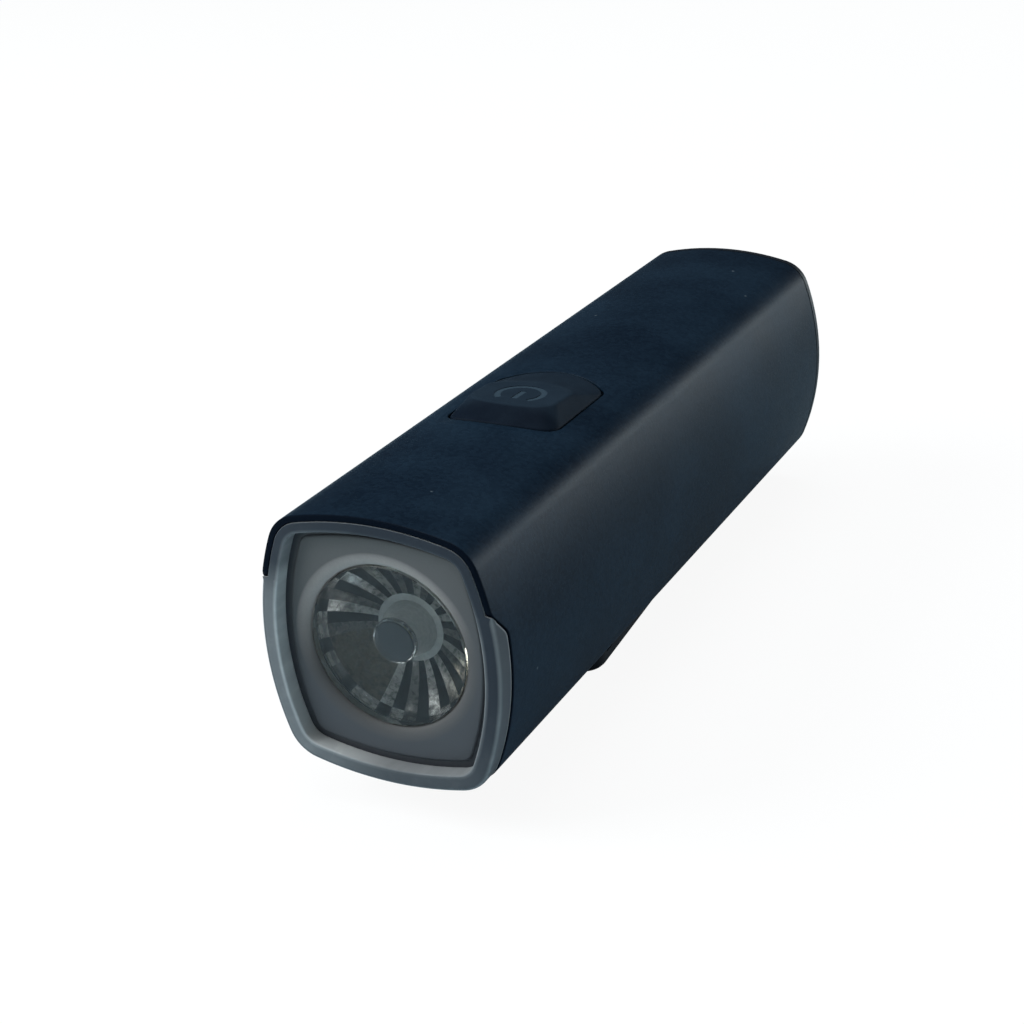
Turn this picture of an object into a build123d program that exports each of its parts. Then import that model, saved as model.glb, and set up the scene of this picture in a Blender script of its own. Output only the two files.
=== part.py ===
from build123d import *
import math
import os

# Bicycle headlight: a rounded extruded tube with a lens module at its front, a push button on top,
# a covered charging port at the rear and a slide cleat underneath. All lengths are millimetres.
# The functions work in the body's frame: the front rim lies in y = 0, the body's axis is z = 0 and
# +Y runs back along the body. The light shines towards -Y. save() shifts each piece to the part's
# frame, whose origin is the middle of the cleat's flat face.

# Body outline: crown, flank and belly arcs joined by four corner arcs, all tangent
body_length = 106.3
half_width = 14.5
half_height = 15.68
crown_radius = 39.9
flank_radius = 33.8
corner_radius = 4.56

# Fits and cuts
slip_gap = 0.05        # parts that slide into the tube or into each other
thread_gap = 0.03      # round a screw's thread
overrun = 5.0          # how far a cutting tool passes the face it cuts

# Tube
tube_wall = 1.5
lip_width = 0.75       # thin wall in front of the lens seat
seat_depth = 3.5       # how deep the lens seat goes
notch_depth = 2.6      # the lower front edge is cut back, and the lens shows there
notch_top = 7.2        # where the cut-back starts on the front face
notch_low = 4.3        # where it reaches its full depth
notch_soft = 1.6       # rounding of its corners
tube_edge_round = 0.2
cap_rim = 1.6          # visible rim of the rear cap
inner_half = min(half_width, half_height) - tube_wall   # room beside the axis
seam_gap = 0.1         # shadow line between tube and cap
tube_end = body_length - cap_rim - seam_gap

# Front lens and its seal
lens_skin = 0.1        # how far the exposed rim stays below the tube's outside
lens_gap = 0.1         # shadow line between rim and tube
lens_rim = 2.05        # from the outside to the recess
recess_depth = 1.55
lens_round = 0.5
seal_thickness = 0.5
lens_depth = seat_depth - seal_thickness

# Bezel: a matte plate that closes the recess, with a round window
bezel_step = 0.3       # its border lies lower than its middle
bezel_border = 2.95    # from the outside to the raised middle
bezel_round = 0.25
bezel_thickness = 1.8
window_margin = 3.6    # from the inside of the tube to the window
window_round = 0.9     # soft lip of the window
window_radius = inner_half - window_margin
bezel_back = recess_depth + bezel_thickness

# Optic: a moulded total-reflection lens with flat flutes, and the parts behind it
optic_setback = 0.45   # its face lies below the bezel's face
optic_rim = 0.6        # how far its flange reaches behind the bezel
optic_height = 8.8
optic_flutes = 28
optic_flange = 1.0
optic_root_radius = 4.0
# stages of the flank: how far along it, and their share of its radius
optic_stage_shares = ((0.0, 0.96), (0.25, 0.89), (0.51, 0.78), (0.75, 0.62))
cavity_mouth = 3.2
cavity_roof = 2.45
cavity_cover = 2.2     # clear plastic between face and cavity
gasket_thickness = 0.3
holder_gap = 1.2       # between holder and tube
holder_room = 0.3      # round the optic's flutes
optic_radius = window_radius + optic_rim
holder_radius = inner_half - holder_gap
holder_bore = window_radius + holder_room
optic_face = recess_depth + optic_setback
flange_front = bezel_back + gasket_thickness
flange_back = flange_front + optic_flange
optic_back = optic_face + optic_height

# Emitter, its board and the heat slug
emitter_side = 3.45
emitter_base = 0.7
dome_radius = 1.5
emitter_gap = 0.1      # between optic and board
led_board_gap = 0.7    # between board and holder
led_board_thickness = 1.6
slug_thickness = 4.0
led_screw_inset = 2.0  # from the board's edge
small_screw = 0.8      # thread radius
small_head = 1.4
small_head_height = 0.9
led_screw_length = 4.5
wire_radius = 0.45
wire_place = 2.5
wire_gap = 0.1
wire_tail = 6.0
wire_lead = 0.5
led_board_radius = holder_bore - led_board_gap
led_screw_place = led_board_radius - led_screw_inset
board_front_y = optic_back + emitter_base - emitter_gap
slug_front = board_front_y + led_board_thickness
slug_back = slug_front + slug_thickness

# Cell, its carrier and the tabs
cell_margin = 3.75     # between cell and tube at the sides
cell_headroom = 0.95   # between cell and main board
cell_floor = 1.73      # between cell and tube below
cell_nub_radius = 2.8
cell_nub_height = 0.6
trough_gap = 0.2
frame_gap = 0.25
frame_plate = 3.0
frame_clearance = 0.3  # between slug and carrier
shelf_drop = 8.68      # from the top of the body to the shelf that the main board lies on
rear_plate = 9.7       # solid part of the carrier behind the cell
frame_setback = 9.3    # from the end of the body to the end of the carrier
tab_thickness = 0.3
tab_width = 5.0
tab_reach = 7.0
frame_windows = 3
window_share = 0.7     # of each window's pitch
window_height = 6.0
pocket_width = 9.0
pocket_floor = 2.0
pad_length = 30.0
pad_width = 5.0
frame_start = slug_back + frame_clearance
cell_start = frame_start + frame_plate + cell_nub_height + tab_thickness + frame_clearance
shelf_height = half_height - shelf_drop
cell_room = shelf_height - cell_headroom + half_height - tube_wall - cell_floor
cell_radius = min(cell_room / 2, half_width - tube_wall - cell_margin)
cell_drop = cell_radius + cell_headroom - shelf_height   # the cell lies below the body's axis
frame_end = body_length - frame_setback
rear_plate_start = frame_end - rear_plate
cell_end = rear_plate_start - tab_thickness - frame_clearance

# Main board
board_thickness = 1.0
board_gap = 2.1         # between board and tube at the sides
board_setback = 8.3     # from the end of the body to the end of the board
board_screw_inset = 2.7 # from the board's side
board_screw_length = 5.0
chip_height = 1.2
chip_shares = (         # across, along, width, length of the board, and height of a chip
    (-0.45, 0.45, 0.42, 0.075, 1.0),
    (0.5, 0.42, 0.3, 0.05, 0.9),
    (-0.5, 0.56, 0.22, 0.04, 0.75),
    (0.0, 0.36, 0.2, 0.03, 0.6),
    (0.62, 0.86, 0.25, 0.035, 0.9),
    (-0.62, 0.86, 0.18, 0.03, 0.7),
)
inductor_side = 5.0
inductor_height = 2.8
inductor_round = 0.8
inductor_place_shares = (0.42, 0.53)
board_half_width = half_width - tube_wall - board_gap
board_end = body_length - board_setback
board_screw_x = board_half_width - board_screw_inset
board_top = shelf_height + board_thickness

# Button: a soft pad on a stiff plunger, over a tact switch
button_inset = 7.55        # from the body's side
button_front = 28.75
button_front_flank = 30.0
button_back = 46.9
button_back_flank = 43.6
button_round = 1.6
button_gap = 0.25
button_shoulder = 15.4     # height where the pad's slopes start
button_top_height = 16.85  # height of the middle of its top
button_tilt = 3.0          # degrees, the front is higher
top_inset = 1.45           # from the pad's side to its top
top_front = 31.9
top_front_flank = 32.5
top_back = 40.4
top_back_flank = 38.4
top_edge_round = 0.3
button_travel = 0.4
symbol_place = 35.6
symbol_radius = 2.95
symbol_width = 0.55
symbol_depth = 0.15
symbol_gap = 1.9
symbol_bar_start = -2.4    # from the ring's middle, towards the front
symbol_bar_end = 0.5
plunger_margin = 1.05      # wider than the pad, so the tube holds it in
plunger_thickness = 0.8
plunger_top = 13.05
switch_side = 6.0
switch_height = 3.3
stem_radius = 1.75
stem_depth = 0.6           # inside the switch at rest
stem_gap = 0.05
stem_floor = 0.2           # left below the pressed stem
led_chip_length = 1.6
led_chip_width = 0.8
led_chip_height = 0.6
led_chip_place = 5.2
button_half_width = half_width - button_inset
top_half_width = button_half_width - top_inset
switch_y = (top_front + top_back) / 2

# Rear cap, charging port and rubber cover
cap_edge_round = 0.8
cap_plate = 3.0
cap_wall = 1.4
plug_depth = 8.0           # how far the cap reaches into the tube, from its outer face
port_width = 12.6
port_height = 7.0
port_wall = 1.2
port_floor = 1.2
socket_width = 8.94
socket_height = 3.2
socket_length = 7.3
socket_wall = 0.3
socket_gap = 0.1
tongue_width = 6.7
tongue_thickness = 0.7
tongue_setback = 1.0
rear_groove_place = 5.7    # from the cap's outer face
rear_groove_width = 1.4
rear_groove_depth = 0.75
cover_width = 14.6
cover_height = 9.0
cover_thickness = 1.35
cover_corner = 3.9
cover_gap = 0.25
cover_seat_gap = 0.05
cover_edge_round = 0.3
stopper_width = 12.0
stopper_height = 6.2
stopper_depth = 1.05
hinge_web = 0.5            # thickness of the thin hinge
hinge_half_width = 3.5
hinge_split = 0.8          # left between the two halves of the hinge
anchor_half_width = 4.0
anchor_height = 2.8
hinge_reach = 1.4          # from the cover's edge to the anchor
lug_radius = 1.1
lug_barb = 1.7
lug_length = 3.4
barb_length = 0.9
ear_width = 1.5
ear_height = 2.4
ear_thickness = 0.9
ear_setback = 0.1
ear_gap = 0.5
cap_screw_side = 6.5       # from the body's side
cap_screw_rise = 6.68      # from the body's belly
cap_screw_radius = 1.0
cap_screw_head = 1.9
cap_screw_length = 12.0
cap_screw_setback = 0.1
screw_tube_radius = 2.5
port_z = board_top + socket_height / 2
plug_start = body_length - plug_depth
rear_groove_start = body_length - rear_groove_place
cap_screw_x = half_width - cap_screw_side
cap_screw_z = -half_height + cap_screw_rise
cap_floor = body_length - cap_plate          # inner face of the rear plate
cover_floor = body_length - cover_thickness - cover_seat_gap
well_floor = plug_start + port_floor

# Cleat underneath, its screws and nut plate
cleat_drop = 3.82          # from the belly to the flat face
cleat_front = 36.5
cleat_back = 68.5
cleat_front_half = 8.26
cleat_back_half = 6.3
cleat_front_round = 3.0
cleat_back_round = 1.0
cleat_seat_gap = 0.03
rail_thickness = 1.5
groove_height = 1.2
groove_depth = 1.6
groove_start = 4.0         # behind the front face
latch_width = 6.0
latch_length = 2.6
latch_depth = 1.2
latch_place = 4.0          # from the back face
cleat_edge_round = 0.35
cleat_screw_radius = 1.25
cleat_screw_hole = 1.35
cleat_screw_head = 2.3
cleat_screw_setback = 0.2
cleat_screw_inset = 7.5    # from the front face
cleat_screw_pitch = 15.0
nut_plate_half_width = 4.5
nut_plate_margin = 3.0
nut_plate_thickness = 1.2
nut_window_gap = 0.5
drive_depth = 0.5          # hexagon recess of the screws
drive_share = 0.5          # of the head's radius
cleat_face = -half_height - cleat_drop
cleat_middle = (cleat_front + cleat_back) / 2
cleat_screws_y = (cleat_front + cleat_screw_inset, cleat_front + cleat_screw_inset + cleat_screw_pitch)

part_shift = Pos(0, -cleat_middle, -cleat_face)


def save(shape, name):
    export_step(part_shift * shape, "parts/" + name + ".step")


# Basic shapes

def corner_centre():
    # centre of the upper right corner arc, which touches the crown arc and the flank arc inside
    crown = Vector(0, 0, half_height - crown_radius)
    flank = Vector(half_width - flank_radius, 0, 0)
    reach = crown_radius - corner_radius
    other = flank_radius - corner_radius
    line = flank - crown
    along = (reach ** 2 - other ** 2 + line.length ** 2) / (2 * line.length)
    across = math.sqrt(reach ** 2 - along ** 2)
    unit = line.normalized()
    return crown, flank, crown + unit * along + Vector(unit.Z, 0, -unit.X) * across


def outline(inset, y):
    # the body's outline, moved in by inset, as a face across the body at y
    crown, flank, corner = corner_centre()
    crown_way = (corner - crown).normalized()
    flank_way = (corner - flank).normalized()
    top = Vector(0, y, half_height - inset)
    side = Vector(half_width - inset, y, 0)
    crown_end = crown + crown_way * (crown_radius - inset)
    flank_end = flank + flank_way * (flank_radius - inset)
    elbow = corner + (crown_way + flank_way).normalized() * (corner_radius - inset)

    def turned(point, right, up):
        return Vector(point.X * right, y, point.Z * up)

    arcs = []
    for right, up in ((1, 1), (1, -1), (-1, -1), (-1, 1)):
        ends = turned(crown_end, right, up), turned(elbow, right, up), turned(flank_end, right, up)
        arcs.append(ThreePointArc(*ends))
    for way in (1, -1):
        across = turned(crown_end, -1, way), turned(top, 1, way), turned(crown_end, 1, way)
        upright = turned(flank_end, way, -1), turned(side, way, 1), turned(flank_end, way, 1)
        arcs += [ThreePointArc(*across), ThreePointArc(*upright)]
    return Face(Wire(arcs))


def prism(inset, start, end):
    return extrude(outline(inset, start), amount=end - start, dir=(0, 1, 0))


def block(left, right, front, back, low, high):
    size = (right - left, back - front, high - low)
    return Pos((left + right) / 2, (front + back) / 2, (low + high) / 2) * Box(*size)


def rod(radius, start, end, x=0, z=0, far_radius=None):
    # a round bar or cone along the body
    far = radius if far_radius is None else far_radius
    turn = Pos(x, (start + end) / 2, z) * Rot(-90, 0, 0)
    if far == radius:
        return turn * Cylinder(radius, end - start)
    return turn * Cone(radius, far, end - start)


def post(radius, low, high, x=0, y=0, top_radius=None):
    # a round bar or cone that stands upright
    top = radius if top_radius is None else top_radius
    place = Pos(x, y, (low + high) / 2)
    if top == radius:
        return place * Cylinder(radius, high - low)
    return place * Cone(radius, top, high - low)


def rounded_bar(width, height, corner, start, end, z):
    # a rounded rectangle across the body, centred at x = 0
    face = RectangleRounded(width, height, corner)
    turn = Pos(0, start, z) * Rot(90, 0, 0)
    return extrude(turn * face, amount=end - start, dir=(0, 1, 0))


def drive(radius, depth):
    # hexagon recess, cut downwards from z = 0
    hexagon = RegularPolygon(radius * drive_share, 6)
    return Pos(0, 0, -depth / 2) * extrude(hexagon, amount=depth / 2, both=True)


def countersunk(radius, head, length):
    # a countersunk screw that points down, with its flat head face in z = 0
    slope = head - radius
    shape = post(radius, -slope, 0, top_radius=head) + post(radius, -length, -slope)
    return shape - drive(head, min(drive_depth, slope))


def countersink(hole, head, length):
    # the room that such a screw needs
    slope = head - hole
    return post(hole, -slope, 0, top_radius=head) + post(hole, -length, -slope) + post(head, 0, overrun)


def cap_head(radius, head, height, length):
    # a pan head screw that points down, with the underside of its head in z = 0
    return post(radius, -length, 0) + post(head, 0, height) - Pos(0, 0, height) * drive(head, drive_depth)


# Tube

def notch(gap):
    # the room in front of the tube's lower edge, made smaller by gap all round
    slope = (notch_top - notch_low) / notch_depth
    rise = gap * math.sqrt(1 + slope ** 2)
    deep = notch_depth - gap
    start = notch_top - rise
    low = notch_top - slope * deep - rise
    bottom = -half_height - overrun
    edge = FilletPolyline(
        (0, start + notch_soft), (0, start), (deep, low), (deep, bottom), radius=(notch_soft, notch_soft))
    top = start + notch_soft
    rest = Polyline((deep, bottom), (-overrun, bottom), (-overrun, top), (0, top))
    face = Plane.YZ * make_face([*edge.edges(), *rest.edges()])
    return extrude(face, amount=half_width + overrun, both=True)


def body_tube():
    tube = prism(0, 0, tube_end)
    ends = tube.edges().group_by(Axis.Y)
    tube = fillet(ends[0] + ends[-1], tube_edge_round)
    tube -= prism(tube_wall, -overrun, tube_end + overrun)
    tube -= prism(lip_width, -overrun, seat_depth)
    tube -= notch(0)
    tube -= button_prism(button_gap, 0, half_height + overrun)
    for y in cleat_screws_y:
        tube -= post(cleat_screw_hole, -half_height - overrun, -half_height / 2, y=y)
    return tube


# Lens module

def front_lens():
    lens = prism(lens_skin, 0, notch_depth)
    lens = fillet(lens.edges().group_by(Axis.Y)[0], lens_round)
    lens = (lens & notch(lens_gap)) + prism(lip_width + slip_gap, 0, lens_depth)
    lens -= prism(lens_rim, -overrun, lens_depth)
    return lens - prism(tube_wall, recess_depth + bezel_step, lens_depth + overrun)


def lens_seal():
    return prism(lip_width + slip_gap, lens_depth, seat_depth) - prism(tube_wall, lens_depth, seat_depth)


def optic_bezel():
    middle = prism(bezel_border, recess_depth, bezel_back)
    middle = fillet(middle.edges().group_by(Axis.Y)[0], bezel_round)
    plate = middle + prism(tube_wall + slip_gap, recess_depth + bezel_step, bezel_back)
    plate -= rod(window_radius, -overrun, bezel_back + overrun)
    rims = plate.edges().filter_by(GeomType.CIRCLE).group_by(Axis.Y)[0]
    mouth = [edge for edge in rims if abs(edge.radius - window_radius) < slip_gap]
    return fillet(mouth, window_round)


def optic_gasket():
    return rod(holder_radius, bezel_back, flange_front) - rod(window_radius, bezel_back, flange_front)


def tir_optic():
    optic = rod(window_radius - slip_gap, optic_face, flange_front)
    optic += rod(optic_radius, flange_front, flange_back)
    flank = optic_back - flange_back
    stages = [(flange_back + flank * along, optic_radius * across) for along, across in optic_stage_shares]
    stages.append((optic_back, optic_root_radius))
    faces = [Pos(0, y, 0) * Rot(90, 0, 0) * RegularPolygon(radius, optic_flutes) for y, radius in stages]
    optic += loft(faces, ruled=True)
    return optic - rod(cavity_roof, optic_face + cavity_cover, optic_back, far_radius=cavity_mouth)


def optic_holder():
    ring = rod(holder_radius, flange_front, slug_front) - rod(holder_bore, flange_front, slug_front)
    for way in (-1, 1):
        ring -= rod(wire_radius + wire_gap, flange_back, slug_front, x=way * wire_place, z=wire_z)
    return ring - rod(optic_radius + slip_gap, flange_front, flange_back)


def led_emitter():
    half = emitter_side / 2
    base = block(-half, half, board_front_y - emitter_base, board_front_y, -half, half)
    front = board_front_y - emitter_base
    dome = Pos(0, front, 0) * Sphere(dome_radius)
    return base + (dome & block(-half, half, front - emitter_side, front, -half, half))


def led_board():
    board = rod(led_board_radius, board_front_y, slug_front)
    for way in (-1, 1):
        board -= rod(small_screw + thread_gap, board_front_y, slug_front, x=way * led_screw_place)
        board -= rod(wire_radius + wire_gap, board_front_y, slug_front, x=way * wire_place, z=wire_z)
    return board


def led_board_screws():
    screw = Rot(90, 0, 0) * cap_head(small_screw, small_head, small_head_height, led_screw_length)
    return Compound([Pos(way * led_screw_place, board_front_y, 0) * screw for way in (-1, 1)])


def heat_slug():
    slug = prism(tube_wall + slip_gap, slug_front, slug_back)
    for way in (-1, 1):
        slug -= rod(small_screw + thread_gap, slug_front, slug_back, x=way * led_screw_place)
        slug -= rod(wire_radius + wire_gap, slug_front, slug_back, x=way * wire_place, z=wire_z)
    return slug


def led_wires():
    start = board_front_y - wire_lead
    end = slug_back + wire_tail
    return Compound([rod(wire_radius, start, end, x=way * wire_place, z=wire_z) for way in (-1, 1)])


# Cell and its carrier

def inner_frame():
    wide = cell_radius + trough_gap
    frame = prism(tube_wall + frame_gap, frame_start, frame_end)
    frame &= block(-half_width, half_width, frame_start, frame_end, -half_height, shelf_height)
    back = rear_plate_start
    front = frame_start + frame_plate
    frame -= rod(wide, front, back, z=-cell_drop)
    frame -= block(-wide, wide, front, back, -cell_drop, shelf_height)
    pitch = (back - front) / frame_windows
    for index in range(frame_windows):
        middle = front + pitch * (index + 1 / 2)
        half = pitch * window_share / 2
        low = -cell_drop - window_height / 2
        frame -= block(-half_width, half_width, middle - half, middle + half, low, low + window_height)
    inside = pocket_width / 2
    ceiling = shelf_height - pocket_floor
    frame -= block(-inside, inside, back + pocket_floor, frame_end, -cell_radius, ceiling)
    nuts = nut_plate_half_width + nut_window_gap
    low, high = nut_plate_span()
    frame -= block(-nuts, nuts, low - nut_window_gap, high + nut_window_gap, -half_height, -cell_drop)
    for x, y in board_screw_places():
        frame -= post(small_screw + thread_gap, shelf_height - board_screw_length, shelf_height, x=x, y=y)
    for way in (-1, 1):
        frame -= rod(cap_screw_radius + thread_gap, back, frame_end, x=way * cap_screw_x, z=cap_screw_z)
    return frame


def battery_cell():
    can = rod(cell_radius, cell_start, cell_end, z=-cell_drop)
    return can + rod(cell_nub_radius, cell_start - cell_nub_height, cell_start, z=-cell_drop)


def cell_tabs():
    half = tab_width / 2
    low = -cell_drop - tab_reach
    front = cell_start - cell_nub_height
    return Compound([
        block(-half, half, front - tab_thickness, front, low, shelf_height),
        block(-half, half, cell_end, cell_end + tab_thickness, low, shelf_height)])


def cell_pad():
    middle = (cell_start + cell_end) / 2
    half = pad_width / 2
    pad = block(-half, half, middle - pad_length / 2, middle + pad_length / 2, -cell_drop, shelf_height)
    return pad - rod(cell_radius + slip_gap, cell_start, cell_end, z=-cell_drop)


# Main board

def board_screw_places():
    front = frame_start + frame_plate / 2
    back = (rear_plate_start + frame_end) / 2
    return [(way * board_screw_x, y) for way in (-1, 1) for y in (front, back)]


def main_board():
    half = board_half_width
    board = block(-half, half, frame_start + slip_gap, board_end, shelf_height, board_top)
    for x, y in board_screw_places():
        board -= post(small_screw + thread_gap, shelf_height, board_top, x=x, y=y)
    return board


def on_board(across, along):
    # a place on the board, from shares of its half width and its length
    return board_half_width * across, frame_start + (board_end - frame_start) * along


def board_chips():
    chips = []
    for across, along, wide, long, high in chip_shares:
        x, y = on_board(across, along)
        half_x = board_half_width * wide / 2
        half_y = (board_end - frame_start) * long / 2
        top = board_top + chip_height * high
        chips.append(block(x - half_x, x + half_x, y - half_y, y + half_y, board_top, top))
    return Compound(chips)


def board_inductor():
    x, y = on_board(*inductor_place_shares)
    half = inductor_side / 2
    body = block(x - half, x + half, y - half, y + half, board_top, board_top + inductor_height)
    return fillet(body.edges().filter_by(Axis.Z), inductor_round)


def board_screws():
    screw = cap_head(small_screw, small_head, small_head_height, board_screw_length)
    return Compound([Pos(x, y, board_top) * screw for x, y in board_screw_places()])


def tact_switch():
    half = switch_side / 2
    top = board_top + switch_height
    body = block(-half, half, switch_y - half, switch_y + half, board_top, top)
    well = top - stem_depth - button_travel - stem_floor
    return body - post(stem_radius + stem_gap, well, top, y=switch_y)


def switch_stem():
    top = board_top + switch_height
    return post(stem_radius, top - stem_depth, plunger_top - plunger_thickness, y=switch_y)


def status_leds():
    long = led_chip_length / 2
    wide = led_chip_width / 2
    top = board_top + led_chip_height
    chips = []
    for way in (-1, 1):
        x = way * led_chip_place
        chips.append(block(x - wide, x + wide, switch_y - long, switch_y + long, board_top, top))
    return Compound(chips)


def usb_socket():
    start = well_floor - socket_length
    corner = socket_height / 2 - socket_wall / 2
    shell = rounded_bar(socket_width, socket_height, corner, start, well_floor, port_z)
    inner = socket_height - 2 * socket_wall
    width = socket_width - 2 * socket_wall
    back = start + socket_wall
    shell -= rounded_bar(width, inner, corner - socket_wall, back, well_floor + overrun, port_z)
    half = tongue_width / 2
    thick = tongue_thickness / 2
    return shell + block(-half, half, start, well_floor - tongue_setback, port_z - thick, port_z + thick)


# Button

def tombstone(half, front, front_flank, back, back_flank, corner):
    # plan outline with a bowed front and an arched back
    front_arc = ThreePointArc((-half, front_flank), (0, front), (half, front_flank))
    right = Line((half, front_flank), (half, back_flank))
    back_arc = ThreePointArc((half, back_flank), (0, back), (-half, back_flank))
    left = Line((-half, back_flank), (-half, front_flank))
    face = make_face([front_arc, right, back_arc, left])
    return fillet(face.vertices(), corner)


def button_outline(grow):
    return tombstone(
        button_half_width + grow, button_front - grow, button_front_flank - grow,
        button_back + grow, button_back_flank + grow, button_round + grow)


def button_prism(grow, low, high):
    return extrude(Pos(0, 0, low) * button_outline(grow), amount=high - low)


def top_tilt():
    # frame of the button's top, tilted about the middle of its length
    middle = (top_front + top_back) / 2
    return Pos(0, middle, button_top_height) * Rot(-button_tilt, 0, 0) * Pos(0, -middle, 0)


def symbol():
    # a ring with a gap and a bar, towards the front
    ring = Circle(symbol_radius) - Circle(symbol_radius - symbol_width)
    ring -= Pos(0, -symbol_radius) * Rectangle(symbol_gap, 2 * symbol_radius)
    bar_length = symbol_bar_end - symbol_bar_start
    bar = Pos(0, symbol_bar_start + bar_length / 2) * Rectangle(symbol_width, bar_length)
    return extrude(Pos(0, symbol_place, 0) * (ring + bar), amount=symbol_depth, both=True)


def button_pad():
    top = tombstone(top_half_width, top_front, top_front_flank, top_back, top_back_flank, button_round)
    crown = loft([Pos(0, 0, button_shoulder) * button_outline(0), top_tilt() * top], ruled=True)
    crown = fillet(crown.faces().sort_by(Axis.Z)[-1].edges(), top_edge_round)
    pad = button_prism(0, plunger_top, button_shoulder) + crown
    return pad - top_tilt() * symbol()


def button_plunger():
    return button_prism(plunger_margin, plunger_top - plunger_thickness, plunger_top)


# Rear cap, port and cover

def cover_plate(grow, start, end):
    width = cover_width + 2 * grow
    return rounded_bar(width, cover_height + 2 * grow, cover_corner + grow, start, end, port_z)


def cover_edge():
    return port_z - cover_height / 2


def anchor_top():
    return cover_edge() - hinge_reach


def ear(grow, start, end):
    left = cover_width / 2 - ear_width / 2
    half = ear_height / 2 + grow
    return block(left, cover_width / 2 + ear_width + grow, start, end, port_z - half, port_z + half)


def rear_cap():
    cap = prism(0, tube_end + seam_gap, body_length)
    cap = fillet(cap.edges().group_by(Axis.Y)[-1], cap_edge_round)
    inset = tube_wall + slip_gap
    rim_start = tube_end + seam_gap
    plug = prism(inset, plug_start, rim_start) - prism(inset + cap_wall, plug_start, cap_floor)
    groove_end = rear_groove_start + rear_groove_width
    groove_floor = prism(inset + rear_groove_depth, rear_groove_start, groove_end)
    cap += plug - (prism(0, rear_groove_start, groove_end) - groove_floor)
    half = port_width / 2 + port_wall
    low = port_z - port_height / 2 - port_wall
    port_block = block(-half, half, plug_start, rim_start, low, half_height)
    cap += port_block & prism(inset + rear_groove_depth, plug_start, rim_start)
    outside = body_length + overrun
    well_corner = port_height / 2 - slip_gap
    cap -= rounded_bar(port_width, port_height, well_corner, well_floor, outside, port_z)
    wide = socket_width + 2 * socket_gap
    high = socket_height + 2 * socket_gap
    cap -= rounded_bar(wide, high, socket_height / 2, plug_start, well_floor, port_z)
    cap -= cover_plate(cover_gap, cover_floor, outside)
    cap -= ear(ear_gap, cover_floor, outside)
    side = anchor_half_width + cover_gap
    bottom = anchor_top() - anchor_height - cover_gap
    cap -= block(-side, side, cover_floor, outside, bottom, port_z)
    lug_z = anchor_top() - anchor_height / 2
    cap -= rod(lug_radius + slip_gap, cap_floor - overrun, cover_floor, z=lug_z)
    head = cap_screw_head + slip_gap
    room = Rot(-90, 0, 0) * countersink(cap_screw_radius + slip_gap, head, body_length)
    for way in (-1, 1):
        x = way * cap_screw_x
        cap += rod(screw_tube_radius, frame_end + slip_gap, cap_floor, x=x, z=cap_screw_z)
        cap -= Pos(x, body_length - cap_screw_setback, cap_screw_z) * room
    return cap


def rear_seal():
    end = rear_groove_start + rear_groove_width
    inset = tube_wall + slip_gap
    floor = prism(inset + rear_groove_depth, rear_groove_start, end)
    return prism(tube_wall, rear_groove_start, end) - floor


def rear_cap_screws():
    screw = Rot(-90, 0, 0) * countersunk(cap_screw_radius, cap_screw_head, cap_screw_length)
    y = body_length - cap_screw_setback
    return Compound([Pos(way * cap_screw_x, y, cap_screw_z) * screw for way in (-1, 1)])


def port_cover():
    start = cover_floor + cover_seat_gap
    plate = cover_plate(0, start, body_length)
    plate = fillet(plate.edges().group_by(Axis.Y)[-1], cover_edge_round)
    corner = stopper_height / 2 - slip_gap
    plate += rounded_bar(stopper_width, stopper_height, corner, start - stopper_depth, start, port_z)
    edge = body_length - ear_setback
    plate += ear(0, edge - ear_thickness, edge)
    middle = cover_edge() - hinge_reach / 2
    low = middle + hinge_split / 2
    high = cover_edge() + hinge_web
    half = hinge_half_width
    return plate + block(-half, half, body_length - hinge_web, body_length, low, high)


def port_cover_anchor():
    start = cover_floor + cover_seat_gap
    top = anchor_top()
    half = anchor_half_width
    shape = block(-half, half, start, body_length, top - anchor_height, top)
    shape = fillet(shape.edges().filter_by(Axis.Y), cover_edge_round)
    z = top - anchor_height / 2
    shape += rod(lug_radius, start - lug_length, start, z=z)
    tip = start - lug_length
    shape += rod(lug_radius, tip, tip + barb_length, z=z, far_radius=lug_barb)
    middle = cover_edge() - hinge_reach / 2
    web = hinge_half_width
    high = middle - hinge_split / 2
    return shape + block(-web, web, body_length - hinge_web, body_length, top - hinge_web, high)


# Cleat

def cleat_plan(narrow, front):
    points = (
        (-cleat_half(front) + narrow, front), (cleat_half(front) - narrow, front),
        (cleat_back_half - narrow, cleat_back), (-cleat_back_half + narrow, cleat_back))
    return make_face(Polyline(*points, close=True))


def cleat_half(y):
    # half width of the tapered rails at y
    share = (y - cleat_front) / (cleat_back - cleat_front)
    return cleat_front_half + (cleat_back_half - cleat_front_half) * share


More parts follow.
